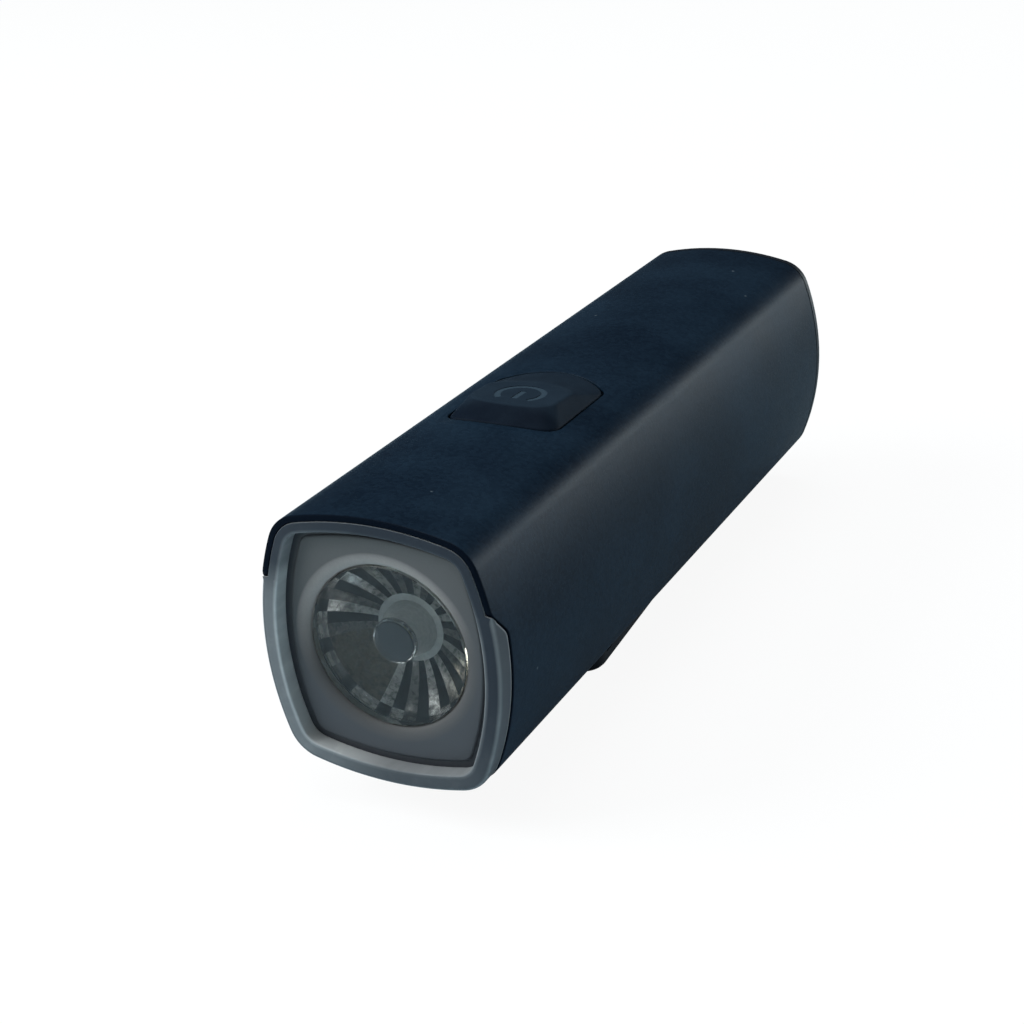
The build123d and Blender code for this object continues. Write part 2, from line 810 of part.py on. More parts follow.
def mount_cleat():
    plan = cleat_plan(0, cleat_front)
    corners = plan.vertices().group_by(Axis.Y)
    plan = fillet(corners[0], cleat_front_round)
    plan = fillet(plan.vertices().group_by(Axis.Y)[-1], cleat_back_round)
    cleat = extrude(Pos(0, 0, cleat_face) * plan, amount=cleat_drop + half_height / 2)
    low = cleat_face + rail_thickness
    high = low + groove_height
    start = cleat_front + groove_start
    grooves = block(-half_width, half_width, start, cleat_back + overrun, low, high)
    core = extrude(Pos(0, 0, low) * cleat_plan(groove_depth, start), amount=groove_height)
    cleat -= grooves - core
    cleat -= prism(-cleat_seat_gap, 0, body_length)
    half = latch_width / 2
    back = cleat_back - latch_place
    cleat -= block(-half, half, back - latch_length, back, cleat_face - overrun, cleat_face + latch_depth)
    bottom = cleat.faces().sort_by(Axis.Z)[0].outer_wire().edges()
    cleat = chamfer(bottom, cleat_edge_round)
    room = Rot(180, 0, 0) * countersink(cleat_screw_hole, cleat_screw_head + slip_gap, half_height)
    for y in cleat_screws_y:
        cleat -= Pos(0, y, cleat_face + cleat_screw_setback) * room
    return cleat


def nut_plate_span():
    return cleat_screws_y[0] - nut_plate_margin, cleat_screws_y[-1] + nut_plate_margin


def nut_plate():
    start, end = nut_plate_span()
    inset = tube_wall + slip_gap
    half = nut_plate_half_width
    low = -half_height + inset
    plate = prism(inset, start, end) & block(-half, half, start, end, low, low + nut_plate_thickness)
    for y in cleat_screws_y:
        plate -= post(cleat_screw_radius + thread_gap, low, low + nut_plate_thickness, y=y)
    return plate


def cleat_screws():
    base = cleat_face + cleat_screw_setback
    length = -half_height + tube_wall + slip_gap + nut_plate_thickness - base
    screw = Rot(180, 0, 0) * countersunk(cleat_screw_radius, cleat_screw_head, length)
    return Compound([Pos(0, y, base) * screw for y in cleat_screws_y])


wire_z = board_top + wire_radius + wire_gap

pieces = {
    "body_tube": body_tube, "front_lens": front_lens, "lens_seal": lens_seal, "optic_bezel": optic_bezel,
    "optic_gasket": optic_gasket, "tir_optic": tir_optic, "optic_holder": optic_holder,
    "led_emitter": led_emitter, "led_board": led_board, "led_board_screws": led_board_screws,
    "heat_slug": heat_slug, "led_wires": led_wires, "inner_frame": inner_frame,
    "battery_cell": battery_cell, "cell_tabs": cell_tabs, "cell_pad": cell_pad, "main_board": main_board,
    "board_chips": board_chips, "board_inductor": board_inductor, "board_screws": board_screws,
    "tact_switch": tact_switch, "switch_stem": switch_stem, "status_leds": status_leds,
    "usb_socket": usb_socket, "button_pad": button_pad, "button_plunger": button_plunger,
    "rear_cap": rear_cap, "rear_seal": rear_seal, "rear_cap_screws": rear_cap_screws,
    "port_cover": port_cover, "port_cover_anchor": port_cover_anchor, "mount_cleat": mount_cleat,
    "cleat_screws": cleat_screws, "nut_plate": nut_plate,
}

os.makedirs("parts", exist_ok=True)
for name, make in pieces.items():
    save(make(), name)
    print("wrote", name)
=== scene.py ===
import math

import bmesh
import bpy
from mathutils import Matrix, Vector


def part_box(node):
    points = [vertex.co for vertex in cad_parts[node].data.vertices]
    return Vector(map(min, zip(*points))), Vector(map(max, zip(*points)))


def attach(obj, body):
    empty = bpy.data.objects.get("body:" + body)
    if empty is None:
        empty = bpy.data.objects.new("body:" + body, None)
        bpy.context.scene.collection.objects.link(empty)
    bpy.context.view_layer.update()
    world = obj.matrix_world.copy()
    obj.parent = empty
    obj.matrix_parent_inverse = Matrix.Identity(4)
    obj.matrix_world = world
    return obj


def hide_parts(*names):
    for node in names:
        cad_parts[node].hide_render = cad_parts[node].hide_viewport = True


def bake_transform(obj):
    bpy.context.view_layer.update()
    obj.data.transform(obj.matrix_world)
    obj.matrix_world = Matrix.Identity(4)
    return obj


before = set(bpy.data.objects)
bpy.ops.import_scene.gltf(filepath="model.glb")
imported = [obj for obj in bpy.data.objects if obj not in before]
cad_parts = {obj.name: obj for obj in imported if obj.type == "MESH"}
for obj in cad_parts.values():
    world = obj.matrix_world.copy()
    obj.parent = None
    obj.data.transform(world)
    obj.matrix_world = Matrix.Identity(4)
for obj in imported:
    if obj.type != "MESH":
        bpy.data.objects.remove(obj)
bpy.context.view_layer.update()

# Bicycle headlight. Lengths below are millimetres in the body's own frame: the front rim lies in
# y = 0, the body's axis is z = 0 and y runs back along the body. at() turns them into metres.
mm = 0.001
tubeLow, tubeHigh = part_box("body_tube")
frontY = tubeLow.y
axisZ = (tubeLow.z + tubeHigh.z) / 2
halfWidth = tubeHigh.x / mm
halfHeight = (tubeHigh.z - tubeLow.z) / 2 / mm
tubeEnd = (tubeHigh.y - frontY) / mm
bodyEnd = (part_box("rear_cap")[1].y - frontY) / mm
bodySize = [round(size, 2) for size in (halfWidth * 2, halfHeight * 2, bodyEnd)]
print("frame loaded, body", *bodySize, "mm wide, high and long")


def at(x, y, z):
    return Vector((x * mm, frontY + y * mm, axisZ + z * mm))


def inBody(point):
    # the other way round
    return point.x / mm, (point.y - frontY) / mm, (point.z - axisZ) / mm


def span(node):
    # a node's lowest and highest corner, in the body's frame
    return [Vector(inBody(corner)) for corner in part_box(node)]


# shading helpers: a socket that can be summed, and a material built from nodes

class Flow:
    def __init__(self, paint, socket):
        self.paint = paint
        self.socket = socket

    def sum(self, kind, first, second=0.0):
        return self.paint.node("ShaderNodeMath", {"operation": kind}, {0: first, 1: second})

    def __add__(self, other):
        return self.sum("ADD", self, other)

    def __radd__(self, other):
        return self.sum("ADD", other, self)

    def __sub__(self, other):
        return self.sum("SUBTRACT", self, other)

    def __rsub__(self, other):
        return self.sum("SUBTRACT", other, self)

    def __mul__(self, other):
        return self.sum("MULTIPLY", self, other)

    def __rmul__(self, other):
        return self.sum("MULTIPLY", other, self)

    def __truediv__(self, other):
        return self.sum("DIVIDE", self, other)

    def __rtruediv__(self, other):
        return self.sum("DIVIDE", other, self)

    def __pow__(self, other):
        return self.sum("POWER", self, other)


class Paint:
    def __init__(self, name, tree=None):
        self.name = name
        if tree is None:
            self.material = bpy.data.materials.new(name)
            self.material.use_nodes = True
            tree = self.material.node_tree
        self.tree = tree
        tree.nodes.clear()

    def node(self, kind, settings=None, inputs=None, output=0):
        made = self.tree.nodes.new(kind)
        for key, value in (settings or {}).items():
            if key == "stops":
                ramp = made.color_ramp
                while len(ramp.elements) < len(value):
                    ramp.elements.new(1.0)
                for element, (place, colour) in zip(ramp.elements, value):
                    element.position = place
                    element.color = tint(colour)
            else:
                setattr(made, key, value)
        for key, value in (inputs or {}).items():
            socket = made.inputs[key]
            if isinstance(value, Flow):
                self.tree.links.new(value.socket, socket)
            elif socket.type == "RGBA":
                socket.default_value = tint(value)
            else:
                socket.default_value = value
        return Flow(self, made.outputs[output]) if len(made.outputs) else None

    def where(self):
        # position on the piece, in metres
        return self.node("ShaderNodeTexCoord", output="Object")

    def axis(self, name, vector=None):
        return self.node("ShaderNodeSeparateXYZ", inputs={0: vector or self.where()}, output="XYZ".index(name))

    def stretch(self, size):
        # position, squeezed along each axis
        return self.node("ShaderNodeVectorMath", {"operation": "MULTIPLY"}, {0: self.where(), 1: size})

    def noise(self, grain, detail=3.0, rough=0.55, vector=None):
        # grain is the size of its blobs, in millimetres
        inputs = {"Vector": vector or self.where(), "Scale": 1 / (grain * mm), "Detail": detail,
                  "Roughness": rough}
        return self.node("ShaderNodeTexNoise", {"noise_dimensions": "3D"}, inputs)

    def cells(self, grain, output="Distance"):
        inputs = {"Vector": self.where(), "Scale": 1 / (grain * mm)}
        return self.node("ShaderNodeTexVoronoi", {"feature": "F1"}, inputs, output)

    def between(self, value, low, high, start=0.0, end=1.0):
        # value, mapped from low..high to start..end with soft ends
        settings = {"interpolation_type": "SMOOTHSTEP"}
        return self.node("ShaderNodeMapRange", settings, {0: value, 1: low, 2: high, 3: start, 4: end})

    def mix(self, share, first, second):
        settings = {"data_type": "RGBA"}
        return self.node("ShaderNodeMix", settings, {0: share, 6: first, 7: second}, output=2)

    def bump(self, height, strength, depth):
        # depth in millimetres
        inputs = {"Height": height, "Strength": strength, "Distance": depth * mm}
        return self.node("ShaderNodeBump", inputs=inputs)

    def held(self, name):
        # a value kept on the mesh's points
        return self.node("ShaderNodeAttribute", {"attribute_name": name}, output="Fac")

    def finish(self, **values):
        inputs = {key.replace("_", " "): value for key, value in values.items()}
        shader = self.node("ShaderNodeBsdfPrincipled", inputs=inputs)
        self.node("ShaderNodeOutputMaterial", inputs={0: shader})
        return self.material


def tint(colour):
    return (*colour[:3], 1.0) if hasattr(colour, "__len__") else (colour, colour, colour, 1.0)


def srgb(red, green, blue):
    # a colour as seen on a screen, 0 to 255, as light values
    return tuple(((c / 255 + 0.055) / 1.055) ** 2.4 if c > 10 else c / 255 / 12.92 for c in (red, green, blue))


# materials

# the lip colour is painted shade on the tube's front end face and inside front edges
anodised = {
    "colour": srgb(4, 17, 30), "pale": srgb(26, 42, 56), "lip": srgb(4, 10, 20), "grain": 0.26,
    "grainRough": 0.6, "spark": 0.416, "sparkShare": 0.25, "haze": 18.0, "hazeRange": (0.35, 0.7),
    "hazeShare": 0.35, "bumpGrain": 0.6, "bumpSpark": 0.4, "bump": 0.6, "bumpDepth": 0.03,
    "roughness": 0.4, "grainRoughness": 0.16, "hazeRoughness": 0.04, "dustRoughness": 0.3, "gloss": 1.1,
    "sheen": 0.031, "sheenRoughness": 0.44, "sheenGloss": 2.5, "dust": srgb(120, 128, 132),
    "dustGrain": 7.0, "dustSize": 0.035, "dustCore": 0.4, "dustShare": 0.35,
}


def makeAnodised():
    look = anodised
    paint = Paint("anodisedShell")
    grain = paint.noise(look["grain"], 2.0, look["grainRough"])
    spark = paint.axis("X", paint.cells(look["spark"], "Color"))
    haze = paint.between(paint.noise(look["haze"], 2.0), *look["hazeRange"])
    size = look["dustSize"]
    dust = 1 - paint.between(paint.cells(look["dustGrain"]), size * look["dustCore"], size)
    pale = haze * look["hazeShare"] + spark * look["sparkShare"]
    lip = paint.held("lip")    # painted shade on the front end face and inside front edges, kept on the tube's points
    colour = paint.mix(lip, paint.mix(pale, look["colour"], look["pale"]), look["lip"])
    uneven = grain * look["bumpGrain"] + spark * look["bumpSpark"]
    normal = paint.bump(uneven, look["bump"], look["bumpDepth"])
    roughness = look["roughness"] + (grain - 0.5) * look["grainRoughness"] + haze * look["hazeRoughness"]
    return paint.finish(
        Base_Color=paint.mix(dust * look["dustShare"], colour, look["dust"]),
        Roughness=roughness + dust * look["dustRoughness"], Normal=normal, IOR=look["gloss"],
        Coat_Weight=look["sheen"] * (1 - lip), Coat_Roughness=look["sheenRoughness"],
        Coat_IOR=look["sheenGloss"], Coat_Normal=normal)


smokedLens = {
    "dark": srgb(31, 36, 45), "paintedLitColour": srgb(158, 157, 156), "streak": srgb(185, 182, 180),
    "streakGrain": 2.2, "streakRough": 0.6, "streakStretch": (1.0, 0.25, 1.0), "streakRange": (0.45, 0.75),
    "streakShare": 0.5, "through": 0.04, "roughness": 0.3, "streakRoughness": 0.08, "bump": 0.08,
    "bumpDepth": 0.02, "gloss": 1.4, "shine": 0.06,
}


def makeSmokedLens():
    look = smokedLens
    paint = Paint("smokedLens")
    # painted light: the held tone mixes the dark face colour to a painted lit colour, whose lighter streaks are
    # painted reflections inside the plastic
    streaks = paint.noise(look["streakGrain"], 3.0, look["streakRough"], paint.stretch(look["streakStretch"]))
    share = paint.between(streaks, *look["streakRange"]) * look["streakShare"]
    paintedLitColour = paint.mix(share, look["paintedLitColour"], look["streak"])
    return paint.finish(
        Base_Color=paint.mix(paint.held("tone"), look["dark"], paintedLitColour),
        Roughness=look["roughness"] + (streaks - 0.5) * look["streakRoughness"],
        Normal=paint.bump(streaks, look["bump"], look["bumpDepth"]), IOR=look["gloss"],
        Transmission_Weight=look["through"], Specular_IOR_Level=look["shine"])


# the upper colour and the lip colours are painted light, the lip's upper part a painted highlight; the moat
# colour is painted shade
bezelGrey = {
    "face": srgb(71, 71, 74), "upper": srgb(93, 89, 87), "shadeLean": 0.15, "shadeRange": (-9.0, 17.0),
    "lip": srgb(77, 74, 73), "paintedLipHighlight": srgb(156, 145, 139), "lipLean": 0.3, "lipRange": (-3.0, 11.0),
    "moat": srgb(49, 50, 54), "moatRange": (2.2, 3.3), "grain": 0.25, "grainRange": (0.3, 0.7),
    "grainShare": 0.1, "roughness": 0.6, "grainRoughness": 0.1, "bump": 0.25, "bumpDepth": 0.02,
    "gloss": 1.35, "shine": 0.25,
}


def makeBezelGrey():
    look = bezelGrey
    paint = Paint("bezelGrey")
    grain = paint.noise(look["grain"], 3.0)
    # painted shade in the moat along the recess wall
    moat = 1 - paint.between(paint.held("inset"), *look["moatRange"])
    across, height = paint.axis("X") / mm, paint.axis("Z") / mm - axisZ / mm
    # painted light: face and lip are painted lighter upwards, along lines that lean to the right, the lip up to
    # a painted highlight
    upper, raised = (
        paint.between(height - across * look[part + "Lean"], *look[part + "Range"])
        for part in ("shade", "lip"))
    colour = paint.mix(upper, look["face"], look["upper"])
    colour = paint.mix(moat, colour, look["moat"])
    colour = paint.mix(paint.held("lip"), colour, paint.mix(raised, look["lip"], look["paintedLipHighlight"]))
    dark = paint.between(grain, *look["grainRange"]) * look["grainShare"]
    return paint.finish(
        Base_Color=paint.mix(dark, colour, look["lip"]),
        Roughness=look["roughness"] + (grain - 0.5) * look["grainRoughness"],
        Normal=paint.bump(grain, look["bump"], look["bumpDepth"]), IOR=look["gloss"],
        Specular_IOR_Level=look["shine"])


clear = {
    "colour": (0.96, 0.98, 0.99), "cloud": (0.9, 0.93, 0.95), "ripple": 2.4, "cloudRange": (0.3, 0.7),
    "roofPaintedShade": 0.004, "roughRange": (0.5, 0.8), "roughest": 0.03, "gloss": 1.49, "shine": 0.35,
}


def makeClear(name="opticClear", dim=1.0):
    look = clear
    paint = Paint(name)
    ripple = paint.noise(look["ripple"], 2.0)
    first, second = (tuple(part * dim for part in look[key]) for key in ("colour", "cloud"))
    return paint.finish(
        Base_Color=paint.mix(paint.between(ripple, *look["cloudRange"]), first, second), IOR=look["gloss"],
        Roughness=paint.between(ripple, *look["roughRange"], 0.0, look["roughest"]),
        Transmission_Weight=1.0, Specular_IOR_Level=look["shine"])


# the optic's flank, seen from inside the clear moulding: its flutes are painted lit, half lit and shaded, and a
# few carry a painted warm reflection of the emitter
flankTones = {
    "flankPaintedLit": srgb(252, 249, 245), "flankPaintedHalfLit": srgb(164, 161, 158), "flankPaintedShade": srgb(44, 45, 46),
    "flankPaintedEmitterReflection": srgb(158, 150, 136),
}
flank = {"grain": 0.7, "cloudRange": (0.4, 0.7), "cloudDark": 0.45, "roughness": 0.2, "cloudRoughness": 0.1}


def makeFlank(name):
    paint = Paint(name)
    cloud = paint.noise(flank["grain"], 3.0)
    shade = tuple(part * flank["cloudDark"] for part in flankTones[name])
    return paint.finish(
        Base_Color=paint.mix(paint.between(cloud, *flank["cloudRange"]), flankTones[name], shade),
        Metallic=1.0, Roughness=flank["roughness"] + (cloud - 0.5) * flank["cloudRoughness"])


# simple finishes: colour, second colour, size of the mottle, roughness, metal, depth of the texture
plainFinishes = {
    "darkSeal": (srgb(18, 19, 20), srgb(30, 31, 32), 0.5, 0.7, 0.0, 0.01),
    "holderGrey": (srgb(92, 94, 90), srgb(70, 72, 70), 1.5, 0.45, 0.0, 0.004),
    "cavityWall": (srgb(168, 170, 166), srgb(152, 154, 150), 0.5, 0.5, 0.0, 0.004),
    "cavityRim": (srgb(164, 166, 162), srgb(150, 152, 148), 0.5, 0.5, 0.0, 0.004),
    "phosphor": (srgb(158, 146, 62), srgb(140, 128, 54), 0.3, 0.45, 0.0, 0.004),
    # the white LED board is coloured dark grey: painted shade inside the housing
    "whiteBoardPaintedShade": (srgb(64, 70, 70), srgb(54, 60, 60), 0.8, 0.5, 0.0, 0.004),
    "boardGreen": (srgb(20, 78, 52), srgb(14, 62, 40), 1.0, 0.4, 0.0, 0.01),
    "chipBlack": (srgb(26, 26, 27), srgb(34, 34, 35), 0.3, 0.6, 0.0, 0.008),
    "bareAluminium": (srgb(200, 202, 204), srgb(176, 178, 181), 0.4, 0.35, 1.0, 0.006),
    "screwSteel": (srgb(168, 168, 166), srgb(146, 146, 144), 0.3, 0.32, 1.0, 0.004),
    "screwBlack": (srgb(38, 40, 43), srgb(54, 56, 60), 0.2, 0.42, 0.8, 0.004),
    "frameBlack": (srgb(30, 31, 33), srgb(38, 39, 41), 0.35, 0.6, 0.0, 0.012),
    "cellWrap": (srgb(38, 84, 132), srgb(32, 74, 120), 6.0, 0.3, 0.0, 0.004),
    "nickel": (srgb(190, 186, 176), srgb(170, 166, 158), 0.6, 0.3, 1.0, 0.004),
    "foam": (srgb(70, 70, 72), srgb(46, 46, 48), 0.4, 0.95, 0.0, 0.05),
    "wireRed": (srgb(150, 24, 22), srgb(128, 20, 18), 1.0, 0.5, 0.0, 0.004),
    "ferrite": (srgb(70, 70, 72), srgb(56, 56, 58), 0.3, 0.65, 0.0, 0.01),
    "ledAmber": (srgb(205, 160, 80), srgb(186, 142, 66), 0.4, 0.3, 0.0, 0.004),
}
mottling = {
    "wide": 9, "fineShare": 0.6, "wideShare": 0.4, "range": (0.35, 0.65), "roughness": 0.2, "bump": 0.4,
}


def makePlain(name):
    first, second, grain, roughness, metal, depth = plainFinishes[name]
    paint = Paint(name)
    mottle = paint.noise(grain)
    wide = paint.noise(grain * mottling["wide"])
    both = mottle * mottling["fineShare"] + wide * mottling["wideShare"]
    colour = paint.mix(paint.between(both, *mottling["range"]), first, second)
    return paint.finish(
        Base_Color=colour, Metallic=metal, Roughness=roughness + (mottle - 0.5) * mottling["roughness"],
        Normal=paint.bump(mottle, mottling["bump"], depth))


buttonLow, buttonHigh = span("button_pad")
button = {
    "half": buttonHigh.x, "front": buttonLow.y, "frontFlank": 30.0, "back": buttonHigh.y, "backFlank": 43.6,
    "corner": 2.1, "gap": 0.25, "holeRound": 0.12, "proud": 0.06,
    "topHalf": 5.5, "topFront": 31.9, "topFrontFlank": 32.5, "topBack": 40.4, "topBackFlank": 38.4,
    "topHeight": 16.85, "tilt": 3.0, "footRound": 0.3, "flankShares": (0.08, 0.3, 0.55, 0.8), "flankSink": 0.04,
    "edgeShares": ((0.93, 0.02), (1.0, 0.05)), "topShares": (0.95, 0.9),
}
topMiddle = (button["topFront"] + button["topBack"]) / 2
rubber = {
    "colour": srgb(5, 12, 23), "pale": srgb(38, 50, 61), "symbol": srgb(46, 58, 68), "symbolShare": 0.6,
    "coverShare": -0.1, "grain": 0.2, "grainShare": 0.1, "wear": 3.0, "wearRange": (0.35, 0.75),
    "wearShare": 0.1, "topRange": (-0.3, -0.05), "topShare": 0.42, "sideRange": (2.2, 4.0), "sideShare": 0.26,
    "roughness": 0.62, "grainRoughness": 0.15, "bump": 0.35, "bumpDepth": 0.012, "gloss": 1.2, "shine": 0.15,
}


def makeRubber(name="buttonRubber", pale="pale", lighter=0.0):
    look = rubber
    paint = Paint(name)
    grain = paint.noise(look["grain"], 3.0)
    wear = paint.between(paint.noise(look["wear"], 3.0), *look["wearRange"])
    # painted light: the button's sloping top is painted paler, and so are its flanks a little behind the front
    # wall, which stays dark as in shade
    slope = math.tan(math.radians(button["tilt"]))
    level = paint.axis("Z") / mm + paint.axis("Y") / mm * slope
    topLevel = axisZ / mm + button["topHeight"] + (frontY / mm + topMiddle) * slope
    paintedLit = paint.between(level - topLevel, *look["topRange"]) * look["topShare"]
    behind = paint.axis("Y") / mm - frontY / mm - button["front"]
    paintedLitFlanks = paint.between(behind, *look["sideRange"]) * look["sideShare"]
    paintedLit = paintedLit.sum("MAXIMUM", paintedLit, paintedLitFlanks)
    share = wear * look["wearShare"] + grain * look["grainShare"] + paintedLit + lighter
    return paint.finish(
        Base_Color=paint.mix(share, look["colour"], look[pale]),
        Roughness=look["roughness"] + (grain - 0.5) * look["grainRoughness"],
        Normal=paint.bump(grain, look["bump"], look["bumpDepth"]), IOR=look["gloss"],
        Specular_IOR_Level=look["shine"])


moulded = {
    "colour": srgb(8, 14, 22), "pale": srgb(22, 29, 38), "spark": 0.3, "sparkShare": 0.2, "cloud": 9.0,
    "cloudRange": (0.35, 0.7), "cloudShare": 0.5, "roughness": 0.52, "sparkRoughness": 0.12, "bump": 0.4,
    "bumpDepth": 0.02, "gloss": 1.35, "shine": 0.3,
}


def makeMoulded(name="mouldedBlack"):
    look = moulded
    paint = Paint(name)
    spark = paint.cells(look["spark"])
    cloud = paint.between(paint.noise(look["cloud"], 3.0), *look["cloudRange"])
    share = cloud * look["cloudShare"] + spark * look["sparkShare"]
    return paint.finish(
        Base_Color=paint.mix(share, look["colour"], look["pale"]),
        Roughness=look["roughness"] + (spark - 0.5) * look["sparkRoughness"],
        Normal=paint.bump(spark, look["bump"], look["bumpDepth"]), IOR=look["gloss"],
        Specular_IOR_Level=look["shine"])


materials = {name: makePlain(name) for name in plainFinishes}
materials["anodised"] = makeAnodised()
materials["smoked"] = makeSmokedLens()
materials["bezel"] = makeBezelGrey()
materials["clear"] = makeClear()
# the cavity's roof is the clear moulding dimmed almost to black: painted shade over the emitter
materials["cavityRoof"] = makeClear("cavityRoof", clear["roofPaintedShade"])
materials["rubber"] = makeRubber()
materials["symbol"] = makeRubber("symbolLines", "symbol", rubber["symbolShare"])
materials["moulded"] = makeMoulded()
materials["cover"] = makeRubber("coverRubber", "pale", rubber["coverShare"])
materials["cleat"] = makeMoulded("cleatNylon")
for flankName in flankTones:
    materials[flankName] = makeFlank(flankName)
print("materials made:", len(materials))


# mesh helpers

roundShare = 0.3    # where a rounded edge's middle point lies, as a share of its radius
weld = 0.002        # points nearer than this become one
shortest = 0.001    # edges shorter than this go
areaWeight = 60     # how much a face's area counts in the normals at its corners


def makePiece(name, points, faces, material, body, replaces=(), smooth=35, held=None):
    mesh = bpy.data.meshes.new(name)
    mesh.from_pydata([at(*p) for p in points], [], faces)
    for key, values in (held or {}).items():
        mesh.attributes.new(key, "FLOAT", "POINT").data.foreach_set("value", values)
    shaped = bmesh.new()
    shaped.from_mesh(mesh)
    bmesh.ops.remove_doubles(shaped, verts=shaped.verts, dist=weld * mm)
    bmesh.ops.dissolve_degenerate(shaped, edges=shaped.edges, dist=shortest * mm)
    bmesh.ops.recalc_face_normals(shaped, faces=shaped.faces)
    shaped.to_mesh(mesh)
    shaped.free()
    piece = bpy.data.objects.new(name, mesh)
    bpy.context.scene.collection.objects.link(piece)
    mesh.materials.append(materials[material])
    soften(piece, smooth)
    if body:
        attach(piece, body)
    if replaces:
        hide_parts(*replaces)
    return piece


def soften(piece, angle):
    # smooth shading, with edges sharper than the angle kept crisp
    mesh = piece.data
    mesh.polygons.foreach_set("use_smooth", [True] * len(mesh.polygons))
    mesh.set_sharp_from_angle(angle=math.radians(angle))
    weigh = piece.modifiers.new("weighNormals", "WEIGHTED_NORMAL")
    weigh.keep_sharp = True
    weigh.weight = areaWeight


def grid(rings, closeRings=True, closeAlong=False):
    # joins rings with as many points each; a ring closes on itself, and the last ring may join the first
    count = len(rings[0])
    points = [point for ring in rings for point in ring]
    faces = []
    rows = len(rings) if closeAlong else len(rings) - 1
    columns = count if closeRings else count - 1
    for row in range(rows):
        here, there = row * count, (row + 1) % len(rings) * count
        for column in range(columns):
            after = (column + 1) % count
            faces.append((here + column, here + after, there + after, there + column))
    return points, faces


def joined(parts):
    points, faces = [], []
    for somePoints, someFaces in parts:
        faces += [tuple(index + len(points) for index in face) for face in someFaces]
        points += list(somePoints)
    return points, faces


# the body's outline: crown, flank and belly arcs with corner arcs between, all tangent

outlineShape = {
    "crown": 39.9, "flank": 33.8, "corner": 4.56, "crownSteps": 36, "cornerSteps": 14, "flankSteps": 40,
}


def outlineSamples():
    # arcs as (centre x, centre z, radius, angle), once round from the right middle
    crown, flank, corner = outlineShape["crown"], outlineShape["flank"], outlineShape["corner"]
    crownCentre = Vector((0, halfHeight - crown))
    flankCentre = Vector((halfWidth - flank, 0))
    line = flankCentre - crownCentre
    reach, other = crown - corner, flank - corner
    along = (reach ** 2 - other ** 2 + line.length ** 2) / (2 * line.length)
    across = math.sqrt(reach ** 2 - along ** 2)
    unit = line.normalized()
    middle = crownCentre + unit * along + Vector((unit.y, -unit.x)) * across
    crownEnd = math.atan2(*(middle - crownCentre).yx)
    flankEnd = math.atan2(*(middle - flankCentre).yx)
    quarter = []
    for centre, radius, start, end, steps in (
            (flankCentre, flank, 0.0, flankEnd, outlineShape["flankSteps"]),
            (middle, corner, flankEnd, crownEnd, outlineShape["cornerSteps"]),
            (crownCentre, crown, crownEnd, math.pi / 2, outlineShape["crownSteps"])):
        for step in range(steps):
            quarter.append((centre.x, centre.y, radius, start + (end - start) * step / steps))
    top = (0.0, crownCentre.y, crown, math.pi / 2)
    right = quarter[1:]
    left = [(-x, z, r, math.pi - a) for x, z, r, a in reversed(right)]
    upper = [quarter[0], *right, top, *left]
    middleLeft = (-quarter[0][0], 0.0, flank, math.pi)
    lower = [(x, -z, r, -a) for x, z, r, a in reversed(right + [top] + left)]
    return [*upper, middleLeft, *lower]


samples = outlineSamples()


def edge(sample, inset):
    x, z, radius, angle = sample
    return x + (radius - inset) * math.cos(angle), z + (radius - inset) * math.sin(angle)


def ring(inset, y):
    # the outline moved in by inset, at y, which may follow the height
    points = []
    for sample in samples:
        x, z = edge(sample, inset)
        points.append((x, y(z) if callable(y) else y, z))
    return points


# the cut-back at the tube's lower front edge

notch = {"depth": 2.6, "top": 7.2, "low": 4.3, "soft": 1.6}


def notchEdge(z, gap=0.0):
    # how far back the front edge lies at the height z
    depth, soft = notch["depth"] - gap, notch["soft"]
    slope = (notch["top"] - notch["low"]) / notch["depth"]
    top = notch["top"] - gap * math.sqrt(1 + slope ** 2)
    low = top - slope * depth
    half = math.atan(1 / slope) / 2
    reach = soft * math.tan(half)
    turn = math.sin(2 * half)
    rise = math.cos(2 * half)
    if z >= top + reach:
        return 0.0
    if z >= top - reach * rise:
        return soft - math.sqrt(soft ** 2 - (top + reach - z) ** 2)
    if z >= low + reach * rise:
        return (top - z) / slope
    if z >= low - reach:
        return depth - soft + math.sqrt(soft ** 2 - (z - low + reach) ** 2)
    return depth


# outlines of the button: a bowed front, straight sides and an arched back

def tombstone(half, front, frontFlank, back, backFlank, corner, counts=(26, 9, 22)):
    frontRadius = (half ** 2 + (frontFlank - front) ** 2) / (2 * (frontFlank - front))
    backRadius = (half ** 2 + (back - backFlank) ** 2) / (2 * (back - backFlank))
    frontMiddle = front + frontRadius
    backMiddle = back - backRadius
    frontCorner = frontMiddle - math.sqrt((frontRadius - corner) ** 2 - (half - corner) ** 2)
    backCorner = backMiddle + math.sqrt((backRadius - corner) ** 2 - (half - corner) ** 2)
    frontTurn = math.atan2(half - corner, frontMiddle - frontCorner)
    backTurn = math.atan2(half - corner, backCorner - backMiddle)
    bow, turn, side = counts
    right = []
    for step in range(bow):
        angle = frontTurn * step / bow
        right.append((frontRadius * math.sin(angle), frontMiddle - frontRadius * math.cos(angle)))
    for step in range(turn):
        angle = frontTurn + (math.pi / 2 - frontTurn) * step / turn
        right.append((half - corner + corner * math.sin(angle), frontCorner - corner * math.cos(angle)))
    for step in range(side):
        right.append((half, frontCorner + (backCorner - frontCorner) * step / side))
    for step in range(turn):
        angle = (math.pi / 2 - backTurn) * step / turn
        right.append((half - corner + corner * math.cos(angle), backCorner + corner * math.sin(angle)))
    for step in range(bow + 1):
        angle = backTurn * (1 - step / bow)
        right.append((backRadius * math.sin(angle), backMiddle + backRadius * math.cos(angle)))
    return right + [(-x, y) for x, y in reversed(right[1:-1])]


